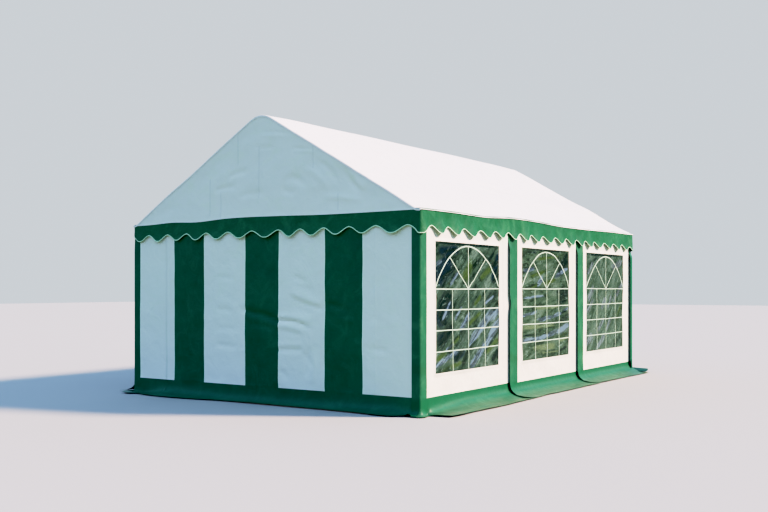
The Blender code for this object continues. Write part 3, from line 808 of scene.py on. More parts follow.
def valance():
    ring = ring_path(0.0155)
    x, y, nx, ny, side, s = ring.T
    side = side.astype(int)
    seam = seam_round(side, x, y)
    phase = scallop_phase(side, x, y)
    count = len(x)
    # each corner has one phase, so the edge runs on round it
    length = np.where(side % 2 == 0, 2 * RING_X, 2 * RING_Y)
    near0, near1 = smooth(1.0 - s / 0.22), smooth(1.0 - (length - s) / 0.22)
    near0 = np.where(side == 0, 0.0, near0)
    near0 = np.where(side == 1, smooth(1.0 - s / 0.06), near0)
    near1 = np.where(side == 0, smooth(1.0 - (length - s) / 0.06), near1)
    meet = np.where(side == 3, np.round(phase + 0.4026) - 0.4026, np.round(phase))
    phase = phase * (1 - near0) * (1 - near1) + near1 * meet + near0 * (1 - near1) * np.round(phase)
    wave = scallop(phase)
    lobe = 0.5 - 0.5 * wave                       # 1 at the lobe's tip
    whole = np.round(phase).astype(int) + 40 * side
    vary = _lattice(whole, whole * 0 + 3, 77) * 2 - 1
    vary2 = _lattice(whole, whole * 0 + 9, 78) * 2 - 1
    mean = np.where(side % 2 == 1, 1.8310, 1.8265)
    mean = mean + np.where(side == 1, -0.009 * smooth((-1.3 - y) / 0.4), 0.0) + 0.004 * wave_noise(s * 1.1, side * 3.3, 4)
    mean = mean - 0.011 * np.exp(-((x - RING_X) ** 2 + (y + RING_Y) ** 2) / 0.10 ** 2)
    bottom = mean + 0.0385 * wave - 0.004 * vary * lobe
    top = seam + 0.012
    rows = np.array([0.0, 0.05, 0.12, 0.22, 0.33, 0.44, 0.55, 0.66, 0.76, 0.85, 0.92, 0.97, 1.0])
    # how far the cloth stands out from the wall: the lobes curl outward
    strong = np.where(side % 2 == 1, 1.0, 0.55)
    tip = (0.003 + (0.026 + 0.008 * vary) * lobe ** 1.4) * strong
    tip = tip * smooth(s / 0.10) * smooth((length - s) / 0.10) + 0.003
    skew = 0.004 * vary2 * np.sin(2 * np.pi * phase) * strong
    sway = 0.004 * wave_noise(s * 2.3, side * 5.1 + 0.5, 6) + 0.003 * wave_noise(s * 5.7, side * 2.7, 9)
    P = np.zeros((len(rows), count, 3))
    for j, r in enumerate(rows):
        d = (tip + skew) * r ** 2.1 + sway * np.sin(np.pi * min(1.0, r * 0.9)) * strong
        d += 0.0022 * wave_noise(s * 9.0, np.full_like(s, r * 3.0 + 9.0) + side * 7, 14) * r
        d = np.maximum(d, -0.004 + 0.002 * r)
        z = top + (bottom - top) * r
        P[j] = np.stack([*tuck(x + nx * d, y + ny * d), z], axis=1)
    ring_s = np.concatenate([[0.0], np.cumsum(np.hypot(np.diff(x), np.diff(y)))])
    total = ring_s[-1] + math.hypot(x[0] - x[-1], y[0] - y[-1])
    P2 = np.concatenate([P, P[:, :1]], axis=1)
    S2 = np.append(ring_s, total)
    U = np.stack([np.broadcast_to(S2, (len(rows), count + 1)), P2[..., 2]], axis=2)
    # rows go down, so turn the quads to face out
    q, t = grid_quads(P2)[:, ::-1], grid_quads(U)[:, ::-1]
    obj = sheet_object("valance", q, [GREEN_BAND], uv=t)
    finish_piece(obj, ("valance_right", "valance_left", "valance_front", "valance_rear"))
    # the white binding round the scalloped edge
    edge, above = P[-1], P[-2]
    tangent = np.roll(edge, -1, axis=0) - np.roll(edge, 1, axis=0)
    tangent /= np.linalg.norm(tangent, axis=1, keepdims=True)
    up = above - edge
    up -= tangent * (up * tangent).sum(1, keepdims=True)
    up /= np.linalg.norm(up, axis=1, keepdims=True)
    outv = np.cross(tangent, up)
    flip = (outv[:, 0] * nx + outv[:, 1] * ny) < 0
    outv[flip] *= -1
    half_h = (0.0046 + 0.0011 * ny * ny)[:, None]
    half_t = 0.0022
    sides = 10
    centre = edge + up * (half_h - 0.0015) - outv * (CLOTH / 2)
    tube = np.zeros((sides + 1, count + 1, 3))
    uvt = np.zeros((sides + 1, count + 1, 2))
    for k in range(sides + 1):
        a = 2 * math.pi * k / sides
        ring_k = centre + up * (half_h * math.copysign(abs(math.cos(a)) ** 0.8, math.cos(a))) + outv * (half_t * math.sin(a))
        tube[k, :count], tube[k, count] = ring_k, ring_k[0]
        uvt[k, :, 0], uvt[k, :, 1] = S2, k / sides * 0.03
    q = grid_quads(tube)
    piping = sheet_object("valance_piping", q, [PIPING], uv=grid_quads(uvt), thickness=0.0, angle=60.0)
    centre_all = piping.data.polygons[0]
    mid = Vector(centre[0])
    if (centre_all.center - mid).dot(centre_all.normal) < 0:
        piping.data.flip_normals()
    finish_piece(piping)
    return obj, piping


valance()


# ------------------------------------------------------- walls and panels
FLAP_ROWS = ((0.00, 0.170), (0.006, 0.148), (0.022, 0.122), (0.060, 0.096), (0.125, 0.074), (0.210, 0.058),
             (0.310, 0.044), (0.420, 0.032), (0.540, 0.0225), (0.660, 0.0160), (0.780, 0.0120), (0.890, 0.0090),
             (0.960, 0.0075), (1.000, 0.0065))
# the same rows where the cloth drops straight to the ground and lies flat
TIGHT_ROWS = ((0.00, 0.170), (0.006, 0.140), (0.014, 0.105), (0.024, 0.072), (0.040, 0.044), (0.065, 0.024),
              (0.110, 0.014), (0.190, 0.0100), (0.310, 0.0085), (0.460, 0.0080), (0.620, 0.0078), (0.790, 0.0074),
              (0.920, 0.0070), (1.000, 0.0065))


FLAP_TABLE = np.array(FLAP_ROWS)


def wall_sheet(name, origin, way, normal, columns, colour, fold, spread, corner=True, holes=(),
               shear=None, lift=None, proud=None, tight=None, pull=None, kick=None, common=None, foot=FLAP_TOP,
               z_top=WALL_TOP, z_rows=None, mats=(), sway=0.004, seed=0):
    """A wall panel with its ground flap. u runs along the wall from origin.
    Where corner is true, u below 0 turns the corner. fold(u, z) is how far the
    cloth stands out; spread(u) is how far the flap lies out; tight(u) is how
    far it takes the flat form of the flap; pull(u, z) shifts it along the wall;
    kick(u, g) raises the flap; with common, a flap of any reach falls by one
    profile; foot is where the flap starts."""
    O, D, N = (np.array(v, float) for v in (origin, way, normal))
    rho = 0.022

    def plan(u):
        place = O + np.outer(u, D)
        out = np.broadcast_to(N, place.shape).copy()
        if corner:
            neg = u < -rho
            place[neg] = O - np.outer(np.abs(u[neg]), N)
            out[neg] = -D
            mid = np.abs(u) <= rho
            a = (u[mid] + rho) / (2 * rho) * (np.pi / 2)
            direction = np.outer(np.sin(a), N) - np.outer(np.cos(a), D)
            place[mid] = O - N * rho + D * rho + direction * rho
            out[mid] = direction
        return place, out

    UL, UR = columns[:-1], columns[1:]
    mid = (UL + UR) / 2
    z_rows = np.asarray(z_rows, float)
    loose_form, tight_form = np.array(FLAP_ROWS)[1:], np.array(TIGHT_ROWS)[1:]
    rows = len(z_rows) + len(loose_form)

    def evaluate(u, middle):
        P = np.zeros((len(u), rows, 3))
        T = np.zeros((len(u), rows))
        base = proud(u, middle) if proud else np.zeros_like(u)
        for j, z in enumerate(z_rows):
            zz = np.full_like(u, z)
            drift = sway * (wave_noise(u * 0.9, zz * 2.1, seed + 3) + 0.4 * wave_noise(u * 3.0, zz * 5.0, seed + 4))
            # keep the ends, the window and the flap's seam where they are
            hold = smooth((z_top - z) / 0.1) * smooth((z - FLAP_TOP) / 0.12)
            ends = smooth((u - columns[0]) / 0.25) * smooth((columns[-1] - u) / 0.25)
            if corner:
                ends = ends * smooth((np.abs(u) - 0.03) / 0.15)
            extra = pull(u, zz) if pull else 0.0
            place, out = plan(u + drift * hold * ends + extra)
            d = base + fold(u, zz)
            P[:, j, :2] = place + out * d[:, None]
            P[:, j, 2] = z
            T[:, j] = -z
        R = spread(u, middle)
        place, out = plan(u)
        base = base + 0.006 * (1.0 - smooth((u + 0.105) / 0.07)) * (1.0 if proud else 0.0)
        d0 = base + fold(u, np.full_like(u, foot))
        up = lift(u, middle) if lift else np.zeros_like(u)
        t = tight(u, middle) if tight else np.zeros_like(u)
        for j in range(len(loose_form)):
            g = loose_form[j, 0] * (1 - t) + tight_form[j, 0] * t
            reach = g * R
            loose_z = loose_form[j, 1]
            if common:
                loose_z = np.interp(np.minimum(loose_form[j, 0] * R / common, 1.0), FLAP_TABLE[:, 0], FLAP_TABLE[:, 1])
            z = loose_z * (1 - t) + tight_form[j, 1] * t
            ripple = (0.0040 * wave_noise(u * 1.7, reach * 13.0 + seed, seed + 5)
                      + 0.0020 * wave_noise(u * 4.1, reach * 21.0 + seed, seed + 6)
                      + 0.0030 * ridged(u * 1.6 + reach * 2.0, reach * 15.0 - u * 0.9, seed + 7) - 0.0014)
            side = shear(u, middle, g) if shear else np.zeros_like(u)
            k = len(z_rows) + j
            P[:, k, :2] = place + out * (d0 * (1 - np.minimum(g * 1.6, 1.0)) + reach)[:, None] + np.outer(side, D)
            P[:, k, 2] = z + up * smooth(g / 0.55) + base * 0.32 * smooth(g / 0.15) \
                + np.maximum(ripple * (0.35 + 0.65 * np.minimum(1.0, g * 2.2)), -0.55 * z + 0.002)
            if kick:
                P[:, k, 2] += kick(u, g)
            P[:, k, 2] = np.maximum(P[:, k, 2], 0.0026)
            T[:, k] = -2.0 * foot + z - reach
        return P, T

    PL, TL = evaluate(UL, mid)
    PR, TR = evaluate(UR, mid)
    quads = np.stack([PL[:, 1:], PR[:, 1:], PR[:, :-1], PL[:, :-1]], axis=2)
    uu = np.broadcast_to(UL[:, None], TL.shape), np.broadcast_to(UR[:, None], TR.shape)
    uvl, uvr = np.stack([uu[0], TL], axis=2), np.stack([uu[1], TR], axis=2)
    uvs = np.stack([uvl[:, 1:], uvr[:, 1:], uvr[:, :-1], uvl[:, :-1]], axis=2)
    zc = np.concatenate([(z_rows[:-1] + z_rows[1:]) / 2, np.full(len(loose_form), 0.1)])
    U, Zc = np.meshgrid(mid, zc, indexing="ij")
    keep = np.ones(U.shape, bool)
    for u0, u1, z0, z1 in holes:
        keep &= ~((U > u0) & (U < u1) & (Zc > z0) & (Zc < z1))
    index = colour(U, Zc)
    keep = keep.ravel()
    obj = sheet_object(name, quads.reshape(-1, 4, 3)[keep], list(mats),
                       np.asarray(index).ravel()[keep], uvs.reshape(-1, 4, 2)[keep])
    return obj


def rows_between(breaks, step):
    return spaced(sorted(breaks), step)[::-1]


# ---- end walls
def end_wall(end):
    """end -1 is the front wall, +1 the rear one."""
    seed = 100 if end < 0 else 140
    stripes = [s + 2.0 for s in STRIPES]
    zips = [0.546 if end < 0 else 0.520, 3.480]
    lap = -0.102 if end < 0 else -0.096
    breaks = sorted([lap, -0.022, 0.0, 0.022] + stripes + [s + d for s in stripes for d in (-0.010, 0.010)] + [3.80, 3.985]
                    + [z + d for z in zips for d in (-0.014, -0.012, -0.0022, 0.0, 0.0022, 0.012, 0.014)])
    columns = spaced(breaks, 0.027)
    foot = 0.186
    z_rows = rows_between([WALL_TOP, 1.96, 1.90, foot + 0.016, foot + 0.008, foot], 0.026)

    def colour(u, z):
        inside = np.zeros(u.shape, int)
        for a, b in ((0, 1), (2, 3), (4, 5), (6, 7)):
            inside |= ((u > stripes[a]) & (u < stripes[b])).astype(int)
        for edge in stripes:
            inside = np.where((np.abs(u - edge) < 0.0105) & (inside == 1), 3, inside)
        if end > 0:
            for c in zips:
                inside = np.where(np.abs(u - c) < 0.0125, 2, inside)
            # the rear flap by its corner takes the green copy with painted shade
            return np.where(z < foot + 0.0005, np.where(u < 0.20, 4, 0), inside)
        inside = np.where(np.abs(u - zips[0]) < 0.0125, 2, inside)
        return np.where(z < foot + 0.0005, 0, inside)

    def fold(u, z):
        x = u - 2.0
        fade = smooth((WALL_TOP - z) / 0.18) * smooth((z - FLAP_TOP + 0.02) / 0.10)
        ends = smooth((u - 0.02) / 0.12) * smooth((3.88 - u) / 0.16)
        d = 0.0055 * layered(x * 0.9, z * 0.7, seed, 2)
        d += 0.0030 * layered(x * 2.3, z * 1.7, seed + 1, 3)
        d += 0.0048 * (ridged(x * 2.4 + z * 0.9, z * 2.7 - x * 0.7, seed + 2) - 0.45) * smooth((z - 0.20) / 0.4)
        d += 0.0040 * np.sin(x * 2 * np.pi / 0.62 + 1.5 * wave_noise(x * 0.6, z * 0.5, seed + 9)) * (0.35 + 0.65 * smooth((1.0 - z) / 0.9))
        if end < 0:
            for x0, z0, x1, z1, w, dd, b in (
                    (0.215, 0.902, 0.640, 0.838, 0.021, -0.0125, 0.024),
                    (0.215, 0.945, 0.620, 0.900, 0.030, 0.0070, 0.020),
                    (0.225, 0.850, 0.560, 0.800, 0.030, 0.0055, 0.018),
                    (0.225, 0.590, 0.545, 0.600, 0.022, -0.0090, 0.004),
                    (0.240, 0.640, 0.520, 0.640, 0.030, 0.0040, 0.004),
                    (0.400, 1.150, 0.820, 1.035, 0.024, -0.0085, -0.016),
                    (0.420, 1.200, 0.780, 1.095, 0.030, 0.0060, -0.010),
                    (0.420, 1.075, 0.700, 0.985, 0.024, -0.0050, -0.010),
                    (0.440, 1.365, 0.600, 1.310, 0.024, -0.0065, 0.006),
                    (0.480, 1.270, 0.700, 1.215, 0.024, -0.0045, 0.006),
                    (0.260, 0.790, 0.540, 0.760, 0.020, -0.0040, 0.004),
                    (0.56, 0.560, 0.70, 0.430, 0.026, -0.0070, 0.006),
                    (0.64, 0.640, 0.60, 0.330, 0.030, -0.0060, 0.006),
                    (0.72, 0.520, 0.70, 0.260, 0.030, 0.0055, 0.0),
                    (0.26, 0.380, 0.36, 0.290, 0.022, -0.0060, 0.0),
                    (-0.30, 1.010, 0.22, 0.925, 0.026, -0.0080, 0.012),
                    (0.86, 1.090, 1.16, 1.020, 0.028, -0.0050, 0.004),
                    (1.44, 0.640, 1.62, 0.620, 0.022, -0.0055, 0.004),
                    (1.42, 0.960, 1.56, 0.900, 0.020, -0.0040, 0.004),
                    (-0.66, 1.372, -0.42, 1.352, 0.022, -0.0045, 0.006),
                    (-0.66, 1.012, -0.42, 0.998, 0.024, -0.0050, 0.004),
                    (-0.64, 0.800, -0.40, 0.792, 0.022, -0.0040, 0.004),
                    (-0.66, 0.615, -0.38, 0.600, 0.024, -0.0055, 0.004),
                    (-0.20, 0.980, 0.18, 0.905, 0.020, -0.0060, 0.010),
                    (-0.16, 0.860, 0.15, 0.810, 0.022, -0.0045, 0.010),
                    (1.00, 0.935, 1.24, 0.915, 0.025, 0.0040, 0.0)):
                d += 1.6 * crease(x, z, x0, z0, x1, z1, w, dd, b)
            d += 0.0016 * hump(x, -0.69, 0.010) - 0.0016 * hump(x, -0.672, 0.008)
        else:
            for x0, z0, x1, z1, w, dd, b in (
                    (-0.30, 0.90, -0.66, 1.00, 0.022, -0.0080, 0.02), (0.40, 1.20, 0.70, 1.05, 0.024, -0.0060, 0.01),
                    (1.30, 0.70, 1.60, 0.60, 0.024, -0.0060, 0.01), (-1.60, 1.30, -1.36, 1.15, 0.024, 0.0055, 0.01),
                    (0.10, 0.60, 0.34, 0.48, 0.024, -0.0060, 0.01)):
                d += crease(x, z, x0, z0, x1, z1, w, dd, b)
        d = d * fade * ends
        # zips: the tape stands a little proud, the teeth more
        for c in zips:
            away = np.abs(u - c)
            live = smooth((z - 0.16) / 0.01) * (1.0 if end > 0 or c < 1.0 else 0.35)
            d += np.where(away < 0.0125, 0.0012, 0.0) * live + np.where(away < 0.0021, 0.0016, 0.0) * live
        # weld where each stripe starts, and at the foot of the white
        for s in stripes:
            d += 0.0007 * hump(u, s, 0.006)
        d += 0.0009 * hump(z, foot + 0.008, 0.006)
        if end < 0:
            # drawn in under the cover at the corner
            d = d - 0.005 * smooth((z - 1.68) / 0.20) * (1.0 - smooth((u - 0.02) / 0.20))
        else:
            d = d - 0.024 * smooth((z - 1.70) / 0.085) * (1.0 - smooth((u - 0.02) / 0.25))
        return d

    def proud(u, middle):
        if end < 0:
            return 0.0050 * (1.0 - smooth((u - 0.02) / 0.20)) + 0.0090 * (1.0 - smooth((u + 0.105) / 0.06))
        return 0.0330 * (1.0 - smooth((u - 0.02) / 0.25))

    def spread(u, middle):
        x = u - 2.0
        if end < 0:
            R = curve(u, ((-0.102, 0.085), (0.0, 0.150), (0.06, 0.140), (0.12, 0.098), (0.30, 0.130), (0.51, 0.158),
                          (0.95, 0.150), (1.42, 0.084), (2.00, 0.076), (2.98, 0.080), (3.35, 0.102), (3.62, 0.142),
                          (3.74, 0.128), (3.80, 0.072), (3.985, 0.050)))
        else:
            R = curve(u, ((-0.102, 0.262), (-0.022, 0.270), (0.0, 0.290), (0.04, 0.250), (0.12, 0.190), (0.50, 0.150),
                          (0.95, 0.155), (1.42, 0.120), (2.00, 0.100), (2.98, 0.110), (3.35, 0.140), (3.62, 0.150),
                          (3.80, 0.110), (3.985, 0.060)))
        return R + 0.006 * wave_noise(x * 4.0, x * 0 + 2.2, seed + 8)

    def lift(u, middle):
        rise = 0.0085 + 0.0025 * wave_noise(u * 1.9, u * 0 + 4.4, seed + 12)
        if end < 0:
            return rise + 0.004 * (1 - smooth(u / 0.3)) + 0.020 * hump(u, 3.895, 0.028)
        return rise + 0.025 * smooth((u + 0.096) / 0.12) * (1.0 - smooth((u - 0.06) / 0.20))

    def tight(u, middle):
        return 1.0 - smooth((u - 0.10) / 0.50)

    origin, way, normal = ((-2.0, -3.0), (1.0, 0.0), (0.0, -1.0)) if end < 0 else ((2.0, 3.0), (-1.0, 0.0), (0.0, 1.0))
    name = "front_wall_cloth" if end < 0 else "rear_wall_cloth"
    obj = wall_sheet(name, origin, way, normal, columns, colour, fold, spread, z_rows=z_rows, proud=proud, lift=lift,
                     tight=tight, foot=foot, seed=seed, sway=0.005,
                     mats=(GREEN, STRIPE_WHITE, ZIP_SHADE if end < 0 else ZIP, STRIPE_EDGE, GREEN_FOLD_SHADE))
    finish_piece(obj, ("front_wall" if end < 0 else "rear_wall",))
    return obj


# ---- side panels, windows and window bars
ARCH_U, ARCH_Z = 0.977, 1.242
BARS_Z = (0.614, 0.824, 1.031, 1.242)
BARS_U = (0.637, 0.980, 1.343)


def shift_along(u, z, bay):
    """The window's edges are not quite straight."""
    near_right, near_left = hump(u, 1.667, 0.16), hump(u, 0.287, 0.095)
    calm = smooth((1.96 - z) / 0.15) * smooth((z - 0.19) / 0.10)
    if bay == 0:
        right = 0.010 + 0.017 * smooth((z - 1.05) / 0.25) + 0.020 * hump(z, 0.86, 0.26)
        left = 0.006 - 0.014 * smooth((z - 1.15) / 0.20) - 0.010 * smooth((0.62 - z) / 0.20)
    elif bay == 1:
        right = -0.006 + 0.024 * hump(z, 0.80, 0.25) + 0.009 * smooth((z - 1.20) / 0.20) + 0.012 * hump(z, 1.40, 0.09)
        left = -0.030 + 0.014 * hump(z, 0.95, 0.20) + 0.018 * hump(z, 0.44, 0.10)
    else:
        right = 0.008 * hump(z, 1.05, 0.40) + 0.014 * smooth((z - 1.12) / 0.15) - 0.020 * hump(z, 0.88, 0.14)
        left = -0.045 + 0.018 * hump(z, 1.12, 0.12) + 0.012 * hump(z, 0.75, 0.12)
    s = (near_right * right + near_left * left) * calm
    if bay == 1:
        s = s + 0.024 * hump(z, 1.07, 0.075) * hump(u, -0.094, 0.09)
    return s


def film_fold(u, z, bay, seed):
    """How far the clear film stands out from the wall's face."""
    edge = smooth((u - WIN_U0 + 0.004) / 0.07) * smooth((WIN_U1 + 0.004 - u) / 0.07) \
        * smooth((z - WIN_Z0 + 0.004) / 0.07) * smooth((WIN_TOPS[bay] + 0.004 - z) / 0.07)
    a = math.radians((36.0, 40.0, 41.0)[bay])
    p, q = u * math.cos(a) + z * math.sin(a), -u * math.sin(a) + z * math.cos(a)
    rough = 0.0045 * (ridged(u * 3.6 + 0.6 * z, z * 3.9, seed + 1) - 0.45) + 0.0020 * layered(u * 6.0, z * 6.0, seed + 2, 2)
    high = smooth((z - 1.05) / 0.30)
    if bay == 0:
        streak = 0.0070 * ridged(p * 1.5, q * 5.2 + 0.5 * wave_noise(p * 2.0, q, seed + 4), seed + 5) - 0.003
        d = streak * (1 - 0.75 * high) + rough * (0.5 + 1.1 * high)
    elif bay == 1:
        flat = 0.0060 * ridged(u * 1.3, z * 7.5 + 0.6 * wave_noise(u * 2.0, z, seed + 6), seed + 7) - 0.003
        band = crease(u, z, 1.05, 0.66, 1.62, 0.98, 0.09, 0.008)
        right = 0.0035 * ridged(u * 9.0, z * 4.0, seed + 8) * smooth((u - 1.25) / 0.2)
        d = flat * hump(z, 0.98, 0.30) + rough * (0.45 + 0.9 * high) + band + right
    else:
        up = 0.0050 * ridged(u * 8.5 + 0.4 * z, z * 1.3, seed + 9) - 0.002
        slant = 0.0030 * ridged(q * 8.0, p * 1.8, seed + 10)
        d = up + slant + rough * 0.5
    return -0.0030 + d * edge


# Painted light on each bay's clear film: sky reflection, dark, greenery and extra colour. Each mark runs from (u, z) to
# (u, z), with its half width and, where it is not full, how strong it is.
FILM_PAINT_MARKS = (
    {"reflected_sky": ((0.58, 1.282, 0.77, 1.426, 0.024), (0.32, 1.489, 0.42, 1.531, 0.020), (0.44, 0.940, 0.60, 1.119, 0.018),
              (0.69, 0.923, 0.83, 1.064, 0.019), (1.35, 1.078, 1.54, 1.163, 0.014), (1.54, 0.922, 1.68, 1.040, 0.024),
              (0.81, 0.806, 1.01, 0.988, 0.038), (1.03, 0.682, 1.59, 1.020, 0.056), (1.35, 0.602, 1.71, 0.917, 0.052),
              (0.30, 0.468, 0.73, 0.604, 0.026), (1.01, 0.399, 1.37, 0.655, 0.044), (0.50, 0.616, 0.67, 0.689, 0.014),
              (0.98, 0.640, 1.16, 0.770, 0.040, 0.80)),
     "painted_dark": ((0.44, 1.612, 0.73, 1.652, 0.018), (0.40, 1.341, 0.71, 1.467, 0.027), (0.50, 1.554, 0.65, 1.588, 0.015),
              (1.44, 1.480, 1.63, 1.539, 0.031), (1.54, 1.295, 1.63, 1.417, 0.040), (0.34, 1.013, 0.52, 0.878, 0.040),
              (0.32, 0.685, 0.58, 0.794, 0.034), (0.69, 0.504, 0.88, 0.616, 0.032), (1.51, 0.451, 1.66, 0.553, 0.040),
              (1.42, 1.534, 1.56, 1.647, 0.024), (0.30, 1.700, 1.66, 1.704, 0.012),
              (0.34, 0.640, 0.66, 0.900, 0.110, 0.70), (0.36, 1.020, 0.62, 1.200, 0.110, 0.75),
              (0.66, 0.600, 0.96, 0.830, 0.080, 0.40), (0.66, 1.030, 0.95, 1.200, 0.110, 0.38),
              (1.30, 1.020, 1.64, 1.230, 0.090, 0.50), (0.34, 0.410, 0.62, 0.440, 0.040, 0.60)),
     "painted_greenery": ((0.88, 1.334, 1.07, 1.526, 0.070), (0.32, 0.527, 0.54, 0.624, 0.031), (0.38, 0.413, 0.86, 0.482, 0.024),
               (0.62, 0.660, 0.79, 0.755, 0.030), (0.96, 0.853, 1.26, 0.993, 0.027), (1.37, 0.558, 1.66, 0.686, 0.036),
               (1.16, 0.697, 1.37, 0.861, 0.026), (1.10, 1.071, 1.26, 1.165, 0.030), (1.23, 1.337, 1.51, 1.492, 0.045)),
     "more": ((0.30, 1.300, 0.62, 1.560, 0.150), (0.30, 0.900, 0.62, 1.120, 0.120), (0.34, 1.620, 0.80, 1.640, 0.060),
              (0.32, 0.720, 0.60, 0.800, 0.060), (1.52, 1.300, 1.64, 1.640, 0.050), (0.66, 0.520, 0.92, 0.600, 0.050))},
    {"reflected_sky": ((0.33, 1.449, 0.63, 1.490, 0.027), (0.69, 1.275, 0.86, 1.372, 0.032), (1.22, 1.388, 1.63, 1.507, 0.024),
              (1.44, 0.966, 1.63, 0.995, 0.013), (0.72, 0.867, 1.13, 0.892, 0.026), (1.13, 0.892, 1.41, 0.936, 0.024),
              (0.30, 0.634, 0.92, 0.648, 0.028), (0.80, 0.650, 1.32, 0.712, 0.036), (1.25, 0.702, 1.63, 0.777, 0.034),
              (0.30, 0.925, 0.66, 0.964, 0.018), (0.33, 1.134, 0.92, 1.153, 0.012)),
     "painted_dark": ((0.30, 1.703, 1.60, 1.707, 0.012), (0.41, 1.674, 0.69, 1.670, 0.013), (1.38, 1.528, 1.63, 1.686, 0.050),
              (1.28, 1.201, 1.63, 1.238, 0.021), (1.32, 1.126, 1.63, 1.168, 0.015), (1.35, 1.063, 1.63, 1.110, 0.016),
              (1.32, 0.913, 1.57, 0.970, 0.018), (1.32, 1.439, 1.57, 1.544, 0.022), (0.30, 0.692, 0.80, 0.695, 0.014),
              (1.32, 0.449, 1.60, 0.510, 0.024), (1.30, 1.060, 1.64, 1.210, 0.110, 0.85),
              (1.30, 1.420, 1.64, 1.640, 0.120, 0.75), (1.30, 0.800, 1.64, 0.900, 0.080, 0.75),
              (1.34, 0.640, 1.64, 0.680, 0.040, 0.70)),
     "painted_greenery": ((0.72, 1.599, 1.38, 1.647, 0.018), (0.49, 1.381, 0.95, 1.459, 0.020), (0.92, 1.300, 1.25, 1.363, 0.024),
               (1.32, 0.624, 1.60, 0.689, 0.018), (0.49, 1.239, 0.86, 1.324, 0.024)),
     "more": ((0.57, 1.013, 1.38, 1.012, 0.018), (0.30, 0.785, 1.25, 0.789, 0.026), (0.57, 0.538, 1.25, 0.527, 0.044),
              (1.35, 0.585, 1.63, 0.623, 0.021), (0.72, 0.470, 1.38, 0.458, 0.012))},
    {"reflected_sky": ((1.22, 1.535, 1.63, 1.629, 0.050), (0.32, 1.438, 0.50, 1.603, 0.030), (0.35, 1.090, 0.53, 1.264, 0.045),
              (1.26, 1.052, 1.63, 1.323, 0.042), (0.61, 0.623, 0.91, 0.833, 0.032), (0.99, 0.663, 1.18, 0.826, 0.040),
              (0.25, 0.477, 0.46, 0.615, 0.055), (0.61, 0.418, 0.95, 0.595, 0.038), (0.80, 0.961, 0.99, 1.125, 0.034),
              (0.30, 0.920, 0.52, 1.100, 0.045, 0.75), (1.04, 0.960, 1.22, 1.140, 0.036, 0.80)),
     "painted_dark": ((0.26, 1.704, 1.63, 1.708, 0.014), (0.32, 1.560, 0.70, 1.678, 0.030, 0.50),
              (1.26, 0.440, 1.60, 0.560, 0.070, 0.65), (1.30, 0.700, 1.60, 0.960, 0.070, 0.45)),
     "painted_greenery": ((1.40, 0.800, 1.60, 1.010, 0.060, 0.75), (0.95, 0.400, 1.14, 0.545, 0.038, 0.35),
               (0.35, 0.660, 0.53, 0.789, 0.031, 0.30)),
     "more": ((0.39, 1.278, 0.53, 1.400, 0.036, 0.5),)},
)


def film_marks(u, z, bay):
    """How strong each painted mark is at each place: sky reflection, dark, greenery and extra colour."""
    out = []
    for label, strength in (("reflected_sky", 1.0), ("painted_dark", 0.95 if bay == 0 else 0.80), ("painted_greenery", 0.85), ("more", 0.85)):
        total = np.zeros_like(u)
        for u0, z0, u1, z1, w, *much in FILM_PAINT_MARKS[bay][label]:
            total = np.maximum(total, crease(u, z, u0, z0, u1, z1, w, much[0] if much else 1.0))
        out.append(np.clip(strength * total, 0.0, 1.0))
    return out


